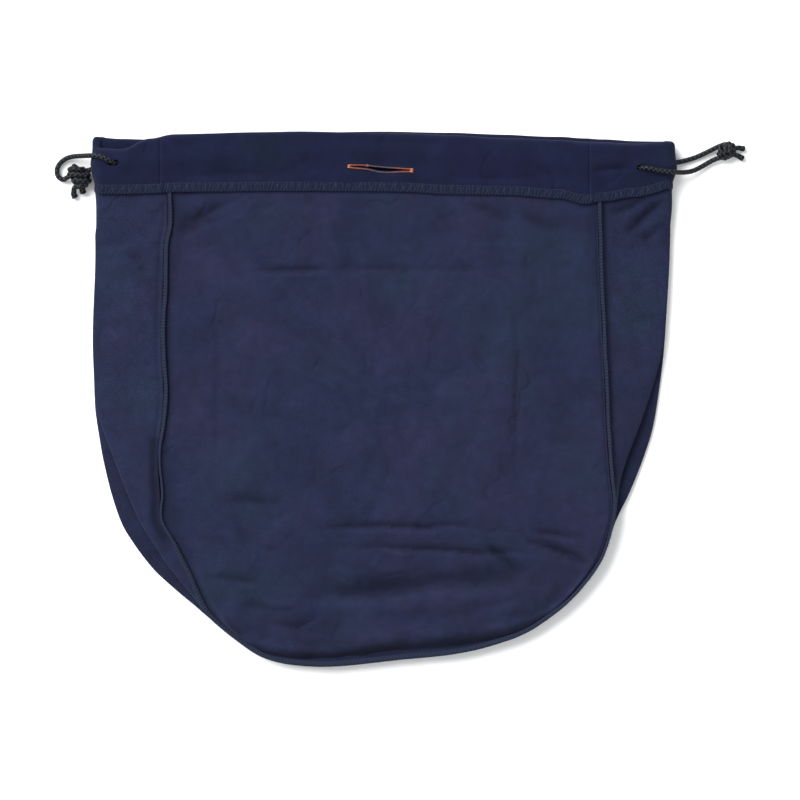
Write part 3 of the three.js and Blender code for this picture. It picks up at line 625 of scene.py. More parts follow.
def rim_distance(grid):
    """How far each place of a grid is from its left, right and last edge."""
    across = np.linalg.norm(np.diff(grid, axis=1), axis=2).cumsum(axis=1)
    down = np.linalg.norm(np.diff(grid[::-1], axis=0), axis=2).cumsum(axis=0)[::-1]
    from_left = np.pad(across, ((0, 0), (1, 0)))
    from_last = np.pad(down, ((0, 1), (0, 0)))
    return np.minimum(np.minimum(from_left, from_left[:, -1:] - from_left), from_last)


def inside(share, first, last):
    return np.clip((share - first) / (1 - first - last), 0, 1)


def mesh_from_quads(name, points, quads, uvs, painted_light_and_taper=None):
    """A mesh with its faces turned outwards, its UV map in metres and its painted light: above 0 a painted
    highlight, below 0 painted shade.
    """
    a, b, c, d = (points[quads[:, k]] for k in range(4))
    volume = np.einsum("ij,ij->", a, np.cross(b, c)) + np.einsum("ij,ij->", a, np.cross(c, d))
    if volume < 0:
        quads, uvs = quads[:, ::-1], uvs[:, ::-1]
    mesh = bpy.data.meshes.new(name)
    mesh.from_pydata(points.tolist(), [], quads.tolist())
    layer = mesh.uv_layers.new(name="cloth")
    layer.data.foreach_set("uv", np.ascontiguousarray(uvs, dtype=np.float32).ravel())
    if painted_light_and_taper is not None:
        attribute = mesh.attributes.new("painted_light_and_taper", "FLOAT", "POINT")
        attribute.data.foreach_set("value", painted_light_and_taper.ravel().astype(np.float32))
    mesh.shade_smooth()
    mesh.validate()
    return mesh


def lattice(rows, columns, closed):
    """Row and column numbers of each corner of a grid's quads."""
    i, j = np.meshgrid(np.arange(rows if closed else rows - 1), np.arange(columns - 1), indexing="ij")
    i, j = i.ravel(), j.ravel()
    return np.stack([i, i, i + 1, i + 1], axis=1), np.stack([j, j + 1, j + 1, j], axis=1)


def closed_wall(name, grid, wall, ring=False, painted_light_and_taper=0.0):
    """A closed wall of cloth round a grid of points on its mid-surface. Its last argument is painted light:
    above 0 a painted highlight, below 0 painted shade.
    """
    rows, columns = grid.shape[:2]
    if ring:
        along = np.roll(grid, -1, axis=0) - np.roll(grid, 1, axis=0)
    else:
        along = np.gradient(grid, axis=0)
    across = np.gradient(grid, axis=1)
    normal = np.cross(across, along)
    normal /= np.linalg.norm(normal, axis=2, keepdims=True)
    points = np.concatenate([grid + normal * wall / 2, grid - normal * wall / 2]).reshape(-1, 3)
    around = np.vstack([grid, grid[:1]]) if ring else grid
    travel = np.linalg.norm(np.diff(around, axis=0), axis=2).mean(axis=1)
    v_at = np.concatenate([[0], np.cumsum(travel)])
    width = np.linalg.norm(np.diff(grid, axis=1), axis=2).mean(axis=0)
    u_at = np.concatenate([[0], np.cumsum(width)])

    def at(layer, i, j):
        return (layer * rows + i % rows) * columns + j

    i, j = lattice(rows, columns, ring)
    uv = np.stack([u_at[j], v_at[i]], axis=2)
    quads, uvs = [at(0, i, j), at(1, i, j)[:, ::-1]], [uv, uv[:, ::-1]]

    def add_strip(i, j, flip):
        """Faces from layer to layer along an edge, from the row and column of each of their corners."""
        strip, spots = at(np.array([0, 0, 1, 1]), i, j), np.stack([u_at[j], v_at[i]], axis=2)
        quads.append(strip[:, ::-1] if flip else strip)
        uvs.append(spots[:, ::-1] if flip else spots)

    ahead = np.array([0, 1, 1, 0])
    k = np.arange(rows if ring else rows - 1)[:, None] + ahead
    for side, flip in ((0, False), (columns - 1, True)):
        add_strip(k, np.full_like(k, side), flip)
    k = np.arange(columns - 1)[:, None] + ahead
    for end, flip in () if ring else ((0, True), (rows - 1, False)):
        add_strip(np.full_like(k, end), k, flip)
    painted_light_and_taper = np.broadcast_to(painted_light_and_taper, (rows, columns))
    return mesh_from_quads(name, points, np.vstack(quads), np.vstack(uvs), np.stack([painted_light_and_taper, painted_light_and_taper]))


def swept_frames(path):
    """Tangent and two side directions at each point of a path, carried along without a twist."""
    tangent = np.gradient(path, axis=0)
    tangent /= np.linalg.norm(tangent, axis=1, keepdims=True)
    start = np.cross(tangent[0], (0, 0, 1))
    if np.linalg.norm(start) < 0.1:
        start = np.cross(tangent[0], (1, 0, 0))
    side = [start / np.linalg.norm(start)]
    for here in tangent[1:]:
        carried = side[-1] - here * np.dot(side[-1], here)
        side.append(carried / np.linalg.norm(carried))
    side = np.array(side)
    return tangent, side, np.cross(tangent, side)


def pipe_mesh(name, rings, round_at, travel):
    """A pipe through rings of points, closed at its ends. round_at and travel are its UV map."""
    sides = rings.shape[1]
    i, j = lattice(len(rings), sides + 1, False)
    uvs = np.stack([round_at[j], travel[i]], axis=2)
    mesh = mesh_from_quads(name, rings.reshape(-1, 3), i * sides + j % sides, uvs)
    closed = bmesh.new()
    closed.from_mesh(mesh)
    bmesh.ops.holes_fill(closed, edges=[e for e in closed.edges if e.is_boundary], sides=sides)
    bmesh.ops.recalc_face_normals(closed, faces=closed.faces)
    closed.to_mesh(mesh)
    closed.free()
    mesh.shade_smooth()
    return mesh


def tube_mesh(name, path, radius, sides, relief=None):
    """A tube with domed ends along a path. relief gives the radius's share at each turn and travel."""
    tangent, side, rise = swept_frames(path)
    travel = travelled(path)
    turn = np.linspace(0, 2 * np.pi, sides, endpoint=False)
    shape = np.ones((len(path), sides)) if relief is None else relief(turn[None], travel[:, None])
    reach = (radius * shape)[..., None]
    ring = reach * (np.cos(turn)[None, :, None] * side[:, None] + np.sin(turn)[None, :, None] * rise[:, None])
    caps = []
    for end, way in ((0, -1), (-1, 1)):
        for share in (0.35, 0.75):
            lift = tangent[end] * way * radius * 0.25 * math.sin(share * math.pi / 2)
            caps.append(path[end] + lift + ring[end] * math.cos(share * math.pi / 2))
    rings = np.array([caps[1], caps[0], *(path[:, None] + ring), caps[2], caps[3]])
    stretch = np.concatenate([[travel[0], travel[0]], travel, [travel[-1], travel[-1]]])
    return pipe_mesh(name, rings, np.arange(sides + 1) / sides, stretch)


def braid(turn, travel):
    """Radius of a braided cord as a share: two sets of strands that pass over and under each other."""
    along = 2 * np.pi * travel / BRAID_PASS * BRAID_STRANDS / BRAID_SLOPE
    return 0.91 + 0.11 * np.maximum(np.cos(BRAID_STRANDS * turn + along), np.cos(BRAID_STRANDS * turn - along))


def add_node(tree, kind, settings=(), inputs=()):
    """Adds one node: settings are its own values, inputs are values or the sockets that feed it."""
    made = tree.nodes.new(kind)
    for name, value in dict(settings).items():
        setattr(made, name, value)
    for name, value in dict(inputs).items():
        socket = made.inputs[name]
        if isinstance(value, bpy.types.NodeSocket):
            tree.links.new(value, socket)
        else:
            socket.default_value = value
    return made


COLOURS_MIXED = {"data_type": "RGBA"}


def rgba(values, strength=1.0):
    return (*[value * strength for value in values[:3]], 1.0)


def patches(tree, place, size_mm, detail, low, high, least=0.0, most=1.0):
    """A cloudy mask from least to most with patches of about a size."""
    cloud = add_node(tree, "ShaderNodeTexNoise", {}, {
        "Vector": place, "Scale": 1 / (size_mm * MM), "Detail": detail, "Roughness": 0.55,
    })
    spread = add_node(tree, "ShaderNodeMapRange", {"clamp": True}, {
        "Value": cloud.outputs["Fac"], "From Min": low, "From Max": high, "To Min": least, "To Max": most,
    })
    return spread.outputs["Result"]


def cotton(tree, base, warm, cool, nap):
    """Cotton twill, piece-dyed and washed: a fine slanting weave, matt, with faint violet and teal casts."""
    place = add_node(tree, "ShaderNodeTexCoord").outputs["Object"]
    flat = add_node(tree, "ShaderNodeTexCoord").outputs["UV"]
    tone = rgba(base)
    for cast, size_mm, low, high, move in ((warm, 60, 0.44, 0.6, 0.0), (cool, 80, 0.47, 0.64, 0.37)):
        moved = add_node(tree, "ShaderNodeMapping", {}, {"Vector": place, "Location": (move, move / 3, 0.0)})
        mask = patches(tree, moved.outputs["Vector"], size_mm, 3, low, high)
        tone = add_node(tree, "ShaderNodeMix", COLOURS_MIXED, {0: mask, 6: tone, 7: rgba(cast)}).outputs[2]
    # twill wales are 0.6 mm apart; drawn at 1.5 mm, so that they show
    wales = add_node(tree, "ShaderNodeTexWave", {"wave_type": "BANDS", "bands_direction": "DIAGONAL"}, {
        "Vector": flat, "Scale": 0.444 / (1.5 * MM), "Distortion": 4.0, "Detail": 2.0, "Detail Scale": 1.0,
    })
    lint = add_node(tree, "ShaderNodeTexNoise", {}, {"Vector": flat, "Scale": 1 / (1.2 * MM), "Detail": 3.0})
    grain = add_node(tree, "ShaderNodeMath", {"operation": "MULTIPLY_ADD"}, {
        0: wales.outputs["Fac"], 1: 0.22, 2: lint.outputs["Fac"],
    })
    weave = add_node(tree, "ShaderNodeMapRange", {}, {
        "Value": grain.outputs[0], "From Min": 0.3, "From Max": 0.9, "To Min": 0.74, "To Max": 1.26,
    })
    # painted light from the mesh: painted highlights on fold crests, and painted shade under folds, in creases
    # and beside seams
    painted_light_and_taper = add_node(tree, "ShaderNodeAttribute", {"attribute_name": "painted_light_and_taper"})
    # short fine creases that washing leaves, with painted shade in their valleys
    bends = add_node(tree, "ShaderNodeTexNoise", {}, {
        "Vector": place, "Scale": 1 / (30 * MM), "Detail": 1.0, "Roughness": 0.4,
    })
    level = add_node(tree, "ShaderNodeMath", {"operation": "SUBTRACT"}, {0: bends.outputs["Fac"], 1: 0.5})
    away = add_node(tree, "ShaderNodeMath", {"operation": "ABSOLUTE"}, {0: level.outputs[0]})
    line = add_node(tree, "ShaderNodeMapRange", {"interpolation_type": "SMOOTHSTEP"}, {
        "Value": away.outputs[0], "From Min": 0.0, "From Max": 0.065, "To Min": 1.0, "To Max": 0.0,
    })
    crease = add_node(tree, "ShaderNodeMath", {"operation": "MULTIPLY"}, {
        0: line.outputs["Result"], 1: patches(tree, place, 34, 1, 0.46, 0.64),
    })
    # painted light: paler at a painted highlight and darker at painted shade
    painted_light_share = add_node(tree, "ShaderNodeMath", {"operation": "MULTIPLY_ADD"}, {
        0: painted_light_and_taper.outputs["Fac"], 1: 0.3, 2: 1.0,
    })
    # painted shade in the fine creases' valleys
    painted_crease_shade = add_node(tree, "ShaderNodeMath", {"operation": "MULTIPLY_ADD"}, {
        0: crease.outputs[0], 1: -0.07, 2: 1.0,
    })
    shares = [
        painted_light_share.outputs[0], painted_crease_shade.outputs[0], weave.outputs["Result"],
        patches(tree, place, 26, 4, 0.3, 0.7, 0.85, 1.15), patches(tree, place, 7, 2, 0.3, 0.7, 0.9, 1.1),
    ]
    value = shares[0]
    for share in shares[1:]:
        value = add_node(tree, "ShaderNodeMath", {"operation": "MULTIPLY"}, {0: value, 1: share}).outputs[0]
    shade = add_node(tree, "ShaderNodeHueSaturation", {}, {"Value": value, "Color": tone})
    valleys = add_node(tree, "ShaderNodeBump", {"invert": True}, {
        "Height": crease.outputs[0], "Strength": 0.6, "Distance": 0.8 * MM,
    })
    bump = add_node(tree, "ShaderNodeBump", {}, {
        "Height": grain.outputs[0], "Strength": nap, "Distance": 0.25 * MM, "Normal": valleys.outputs["Normal"],
    })
    return add_node(tree, "ShaderNodeBsdfPrincipled", {}, {
        "Base Color": shade.outputs["Color"], "Normal": bump.outputs["Normal"], "Roughness": 0.9,
        "IOR": 1.46, "Specular IOR Level": 0.12, "Sheen Weight": 0.03, "Sheen Roughness": 0.5,
    })


def spun_thread(tree, base, sheen):
    """Spun sewing thread: a soft twist along each stitch and a little gloss."""
    place = add_node(tree, "ShaderNodeTexCoord").outputs["Object"]
    tone = add_node(tree, "ShaderNodeMix", COLOURS_MIXED, {
        0: patches(tree, place, 2.0, 2, 0.35, 0.7), 6: rgba(base, 0.8), 7: rgba(base, 1.25),
    }).outputs[2]
    return add_node(tree, "ShaderNodeBsdfPrincipled", {}, {
        "Base Color": tone, "Roughness": 0.65, "Specular IOR Level": 0.35, "Sheen Weight": sheen,
    })


def overlocked_cloth(tree, base, thread):
    """Cloth edges under overlock thread: cloth and thread in turns along the seam."""
    flat = add_node(tree, "ShaderNodeTexCoord").outputs["UV"]
    turns = add_node(tree, "ShaderNodeTexWave", {"wave_type": "BANDS", "bands_direction": "Y"}, {
        "Vector": flat, "Scale": 0.314 / (2.6 * MM), "Distortion": 2.0, "Detail Scale": 2.0,
    })
    tone = add_node(tree, "ShaderNodeMix", COLOURS_MIXED, {
        0: turns.outputs["Fac"], 6: rgba(base), 7: rgba(thread),
    }).outputs[2]
    bump = add_node(tree, "ShaderNodeBump", {}, {
        "Height": turns.outputs["Fac"], "Strength": 0.5, "Distance": 0.4 * MM,
    })
    return add_node(tree, "ShaderNodeBsdfPrincipled", {}, {
        "Base Color": tone, "Normal": bump.outputs["Normal"], "Roughness": 0.85,
        "Specular IOR Level": 0.12, "Sheen Weight": 0.03,
    })


def braided(tree, dark, light):
    """Braided polyester cord: near-black strands with a slight gloss, and a painted highlight on their crowns.
    """
    flat = add_node(tree, "ShaderNodeTexCoord").outputs["UV"]
    parts = add_node(tree, "ShaderNodeSeparateXYZ", {}, {0: flat})
    along = add_node(tree, "ShaderNodeMath", {"operation": "MULTIPLY"}, {
        0: parts.outputs[1], 1: 2 * math.pi / BRAID_PASS * BRAID_STRANDS / BRAID_SLOPE,
    })
    turns = add_node(tree, "ShaderNodeMath", {"operation": "MULTIPLY"}, {
        0: parts.outputs[0], 1: 2 * math.pi * BRAID_STRANDS,
    })
    crowns = []
    for operation in ("ADD", "SUBTRACT"):
        both = add_node(tree, "ShaderNodeMath", {"operation": operation}, {
            0: turns.outputs[0], 1: along.outputs[0],
        })
        wave = add_node(tree, "ShaderNodeMath", {"operation": "COSINE"}, {0: both.outputs[0]})
        crowns.append(wave.outputs[0])
    crown = add_node(tree, "ShaderNodeMath", {"operation": "MAXIMUM"}, {0: crowns[0], 1: crowns[1]})
    # the crowns painted lighter: a painted highlight
    share = add_node(tree, "ShaderNodeMapRange", {"clamp": True}, {
        "Value": crown.outputs[0], "From Min": 0.84, "From Max": 1.0,
    })
    tone = add_node(tree, "ShaderNodeMix", COLOURS_MIXED, {
        0: share.outputs["Result"], 6: rgba(dark), 7: rgba(light),
    }).outputs[2]
    return add_node(tree, "ShaderNodeBsdfPrincipled", {}, {
        "Base Color": tone, "Roughness": 0.5, "Specular IOR Level": 0.12,
    })


def matt_card(tree, base):
    """Matt card under the bag: pale, with the faintest unevenness."""
    place = add_node(tree, "ShaderNodeTexCoord").outputs["Object"]
    tone = add_node(tree, "ShaderNodeMix", COLOURS_MIXED, {
        0: patches(tree, place, 300, 2, 0.3, 0.7), 6: rgba(base, 0.985), 7: rgba(base),
    }).outputs[2]
    return add_node(tree, "ShaderNodeBsdfPrincipled", {}, {"Base Color": tone, "Roughness": 0.8})


def orange_thread(tree, bright, worn, bunched):
    """Orange polyester thread: rubbed pale at the slit's middle, and bright where it piles up at its ends."""
    place = add_node(tree, "ShaderNodeTexCoord").outputs["Object"]
    parts = add_node(tree, "ShaderNodeSeparateXYZ", {}, {0: place})
    off = add_node(tree, "ShaderNodeMath", {"operation": "ADD"}, {0: parts.outputs[0], 1: -SLIT_MIDDLE})
    away = add_node(tree, "ShaderNodeMath", {"operation": "ABSOLUTE"}, {0: off.outputs[0]})
    tone = rgba(worn)
    for colour_here, first, last in ((bright, 0.005, 0.018), (bunched, 0.0225, 0.0245)):
        share = add_node(tree, "ShaderNodeMapRange", {"clamp": True}, {
            "Value": away.outputs[0], "From Min": first, "From Max": last,
        })
        tone = add_node(tree, "ShaderNodeMix", COLOURS_MIXED, {
            0: share.outputs["Result"], 6: tone, 7: rgba(colour_here),
        }).outputs[2]
    value = patches(tree, place, 1.4, 2, 0.35, 0.65, 0.65, 1.15)
    shade = add_node(tree, "ShaderNodeHueSaturation", {}, {"Value": value, "Color": tone})
    return add_node(tree, "ShaderNodeBsdfPrincipled", {}, {
        "Base Color": shade.outputs["Color"], "Roughness": 0.5, "Specular IOR Level": 0.5, "Sheen Weight": 0.2,
    })


def finish(name):
    """The material of that name, made once."""
    found = bpy.data.materials.get(name)
    if found:
        return found
    c = bpy.context.scene.helmet_bag_colours
    surface_of, values = {
        "Cotton twill face": (cotton, (c.twill, c.twill_warm, c.twill_cool, 0.35)),
        "Cotton twill reverse": (cotton, (c.reverse, c.reverse_warm, c.reverse_cool, 0.25)),
        "Overlocked cloth edge": (overlocked_cloth, (c.twill, c.seam_thread)),
        "Overlocked hem": (overlocked_cloth, (c.reverse, c.reverse_cool)),
        "Spun dark thread": (spun_thread, (c.hem_thread, 0.03)),
        "Spun navy thread": (spun_thread, (c.seam_thread, 0.05)),
        "Spun orange thread": (orange_thread, (c.orange, c.orange_pale, c.orange_knot)),
        "Braided polyester cord": (braided, (c.cord_dark, c.cord_painted_highlight)),
        "Matt card": (matt_card, (c.floor,)),
    }[name]
    material = bpy.data.materials.new(name)
    material.use_nodes = True
    tree = material.node_tree
    tree.nodes.clear()
    surface = surface_of(tree, *values)
    add_node(tree, "ShaderNodeOutputMaterial", {}, {"Surface": surface.outputs["BSDF"]})
    return material


def add_piece(name, mesh, material, replaced=()):
    """Puts a finished mesh in the scene as a piece of the bag."""
    piece = bpy.data.objects.new(name, mesh)
    bpy.context.scene.collection.objects.link(piece)
    if not mesh.materials:
        mesh.materials.append(finish(material))
    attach(piece, "root")
    if replaced:
        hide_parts(*replaced)
    return piece


def bag_form():
    return BagForm(bpy.context.scene.helmet_bag_sizes)


def stitch_tree():
    """Geometry Nodes that set a stitch at even steps along a path, turned by the path and its face."""
    found = bpy.data.node_groups.get("Stitches along a path")
    if found:
        return found
    tree = bpy.data.node_groups.new("Stitches along a path", "GeometryNodeTree")
    for name, kind in (
        ("Path", "NodeSocketGeometry"), ("Stitch", "NodeSocketObject"), ("Pitch", "NodeSocketFloat"),
        ("Jitter", "NodeSocketFloat"), ("Seed", "NodeSocketInt"), ("Thread", "NodeSocketMaterial"),
    ):
        tree.interface.new_socket(name=name, in_out="INPUT", socket_type=kind)
    tree.interface.new_socket(name="Stitches", in_out="OUTPUT", socket_type="NodeSocketGeometry")
    given = add_node(tree, "NodeGroupInput").outputs
    curve = add_node(tree, "GeometryNodeMeshToCurve", {}, {"Mesh": given["Path"]})
    steps = add_node(tree, "GeometryNodeResampleCurve", {"mode": "LENGTH"}, {
        "Curve": curve.outputs["Curve"], "Length": given["Pitch"],
    })
    facing = add_node(tree, "GeometryNodeInputNamedAttribute", {"data_type": "FLOAT_VECTOR"}, {
        "Name": "facing",
    })
    tangent = add_node(tree, "GeometryNodeInputTangent")
    turned = add_node(tree, "FunctionNodeAxesToRotation", {"primary_axis": "Z", "secondary_axis": "Y"}, {
        "Primary Axis": tangent.outputs["Tangent"], "Secondary Axis": facing.outputs["Attribute"],
    })
    low = add_node(tree, "ShaderNodeMath", {"operation": "MULTIPLY"}, {0: given["Jitter"], 1: -1.0})
    swing = add_node(tree, "FunctionNodeRandomValue", {"data_type": "FLOAT"}, {
        2: low.outputs[0], 3: given["Jitter"], "Seed": given["Seed"],
    })
    euler = add_node(tree, "ShaderNodeCombineXYZ", {}, {"Y": swing.outputs[1]})
    spin = add_node(tree, "FunctionNodeEulerToRotation", {}, {0: euler.outputs[0]})
    rotation = add_node(tree, "FunctionNodeRotateRotation", {"rotation_space": "LOCAL"}, {
        "Rotation": turned.outputs[0], "Rotate By": spin.outputs[0],
    })
    stitch = add_node(tree, "GeometryNodeObjectInfo", {"transform_space": "ORIGINAL"}, {
        "Object": given["Stitch"],
    })
    placed = add_node(tree, "GeometryNodeInstanceOnPoints", {}, {
        "Points": steps.outputs["Curve"], "Instance": stitch.outputs["Geometry"],
        "Rotation": rotation.outputs[0],
    })
    real = add_node(tree, "GeometryNodeRealizeInstances", {}, {"Geometry": placed.outputs["Instances"]})
    dressed = add_node(tree, "GeometryNodeSetMaterial", {}, {
        "Geometry": real.outputs["Geometry"], "Material": given["Thread"],
    })
    add_node(tree, "NodeGroupOutput", {}, {"Stitches": dressed.outputs["Geometry"]})
    return tree


def stitched(name, runs, stitch_mm, pitch, jitter, seed, material):
    """A mesh of stitches along runs, each a path, the directions that its cloth faces, and if it closes."""
    points, edges, facing = [], [], []
    for path, faces, closed in runs:
        first = len(points)
        points += [tuple(p) for p in path]
        facing += [tuple(f) for f in faces]
        edges += [(first + k, first + k + 1) for k in range(len(path) - 1)]
        if closed:
            edges.append((first + len(path) - 1, first))
    line = bpy.data.meshes.new(name + " path")
    line.from_pydata(points, edges, [])
    attribute = line.attributes.new("facing", "FLOAT_VECTOR", "POINT")
    attribute.data.foreach_set("vector", np.array(facing, dtype=np.float32).ravel())
    guide = bpy.data.objects.new(name + " guide", line)
    bends = catmull(np.array(stitch_mm) * MM, np.linspace(0, 1, 3 * len(stitch_mm) - 2))
    stitch = tube_mesh(name + " stitch", bends, bpy.context.scene.helmet_bag_sizes.thread / 2, 5)
    template = bpy.data.objects.new(name + " stitch", stitch)
    for helper in (guide, template):
        bpy.context.scene.collection.objects.link(helper)
    tree = stitch_tree()
    modifier = guide.modifiers.new("Stitches", "NODES")
    modifier.node_group = tree
    values = {"Stitch": template, "Pitch": pitch, "Jitter": jitter, "Seed": seed, "Thread": finish(material)}
    for socket in tree.interface.items_tree:
        if socket.in_out == "INPUT" and socket.name in values:
            modifier[socket.identifier] = values[socket.name]
    bpy.context.view_layer.update()
    evaluated = guide.evaluated_get(bpy.context.evaluated_depsgraph_get())
    mesh = bpy.data.meshes.new_from_object(evaluated)
    mesh.name = name
    for helper in (guide, template):
        bpy.data.objects.remove(helper)
    if not mesh.polygons:
        raise RuntimeError(f"no stitches were made for {name}")
    mesh.shade_smooth()
    return mesh


def joined_mesh(name, parts):
    """One smooth mesh made of several."""
    joined = bmesh.new()
    for part in parts:
        joined.from_mesh(part)
    mesh = bpy.data.meshes.new(name)
    joined.to_mesh(mesh)
    joined.free()
    mesh.shade_smooth()
    return mesh


class HELMETBAG_OT_stage(bpy.types.Operator):
    """Makes the pale floor, the soft lights and the camera straight above the bag"""

    bl_idname = "helmet_bag.stage"
    bl_label = "Stage"

    def execute(self, context):
        scene = context.scene
        floor_mesh = bpy.data.meshes.new("floor")
        ways = ((-1, -1), (1, -1), (1, 1), (-1, 1))
        corners = [(x * FLOOR_REACH, y * FLOOR_REACH, FLOOR_LEVEL) for x, y in ways]
        floor_mesh.from_pydata(corners, [], [(0, 1, 2, 3)])
        floor_mesh.materials.append(finish("Matt card"))
        floor = bpy.data.objects.new("floor", floor_mesh)
        scene.collection.objects.link(floor)

        camera_data = bpy.data.cameras.new("camera")
        camera_data.lens, camera_data.sensor_width = CAMERA_LENS, CAMERA_SENSOR
        camera = bpy.data.objects.new("camera", camera_data)
        camera.location = CAMERA_PLACE
        scene.collection.objects.link(camera)
        scene.camera = camera

        for name, place, spread, strength in LIGHTS:
            light_data = bpy.data.lights.new(name, "SUN")
            light_data.angle, light_data.energy = math.radians(spread), strength
            light = bpy.data.objects.new(name, light_data)
            light.rotation_euler = (-Vector(place)).to_track_quat("-Z", "Y").to_euler()
            scene.collection.objects.link(light)
        world = bpy.data.worlds.new("soft room")
        world.use_nodes = True
        background = world.node_tree.nodes["Background"].inputs
        background["Color"].default_value, background["Strength"].default_value = ROOM_COLOUR, ROOM_STRENGTH
        scene.world = world
        scene.view_settings.view_transform = "Standard"
        return {"FINISHED"}


class HELMETBAG_OT_free_cords(bpy.types.Operator):
    """Makes the cord at each side, from its hole through its knot and back into the side fold"""

    bl_idname = "helmet_bag.free_cords"
    bl_label = "Free cords and knots"

    def execute(self, context):
        s = context.scene.helmet_bag_sizes
        for side in ("left", "right"):
            front, back = CORD_ROUTES[side + "_front"], CORD_ROUTES[side + "_back"]
            route = Route(np.array([*front, *back]) * MM)
            path = route.at(np.linspace(0, 1, int(route.length / CORD_STEP)))
            mesh = tube_mesh("cord_" + side, path, s.cord_diameter / 2, 24, braid)
            cord = add_piece(
                "drawcord_end_" + side, mesh, "Braided polyester cord",
                ("cord_" + side + "_front", "cord_" + side + "_back"),
            )
            knot = self.add_knot(side)
            tuple(path[0])
        return {"FINISHED"}

    def add_knot(self, side):
        """Both strands wound round each other in a rounded lump, each with a cut tail."""
        centre, axis, span, head, foot, strand_width = KNOTS[side]
        centre, axis = np.array(centre), np.array(axis)
        across = np.array([-axis[1], axis[0], 0])
        tails = (CORD_ROUTES[side + "_tail"], CORD_ROUTES[side + "_short_tail"])
        strands = []
        for number, tail in enumerate(tails):
            # each strand winds round the knot 1.7 times, half a turn from the other
            t = np.linspace(0, 1, 30)
            turn = 2 * np.pi * 1.7 * t + np.pi * number + 0.6
            belly = np.sin(np.pi * (0.14 + 0.74 * t)) * (1 - 0.9 * smooth((t - 0.86) / 0.14))
            wide = belly * mix(head, foot, t) * np.cos(turn)
            far = mix(-0.4, 0.38, t) * span + 0.42 * wide
            tall = 3.3 * belly * np.sin(turn)
            coil = centre + far[:, None] * axis + wide[:, None] * across + tall[:, None] * [0, 0, 1]
            coil += 0.5 * np.stack([ripple(coil / 1000, 0.004, k + 70) for k in range(3)], axis=1)
            inner = centre - 0.3 * span * axis
            route = Route(np.array([inner, *coil, *tail]) * MM)
            path = route.at(np.linspace(0, 1, int(route.length / CORD_STEP)))
            flare = mix(1, 1.2, smooth((np.linspace(0, 1, len(path)) - 0.9) / 0.1))[:, None]

            def pressed(turn, travel, flare=flare):
                """Half as deep a braid as on the free cord, wider at the cut end."""
                return (0.5 + 0.5 * braid(turn, travel)) * flare

            strands.append(tube_mesh("strand", path, strand_width / 2 * MM, 20, pressed))
        mesh = joined_mesh("knot_" + side, strands)
        for strand in strands:
            bpy.data.meshes.remove(strand)
        # pressed flat where it lies on the surface
        for v in mesh.vertices:
            v.co.z = max(v.co.z, 0.05 * MM)
        mesh.update()
        return add_piece("tied_knot_" + side, mesh, "Braided polyester cord", ("knot_" + side,))


class HELMETBAG_OT_held_cords(bpy.types.Operator):
    """Gives the cord inside the casing its braid"""

    bl_idname = "helmet_bag.held_cords"
    bl_label = "Cord in the casing"

    def execute(self, context):
        for name in ("drawcord_front", "drawcord_back"):
            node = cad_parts[name]
            for slot in node.material_slots:
                slot.material = finish("Braided polyester cord")
            if not node.material_slots:
                raise RuntimeError(f"{name} has no material slot")
        return {"FINISHED"}


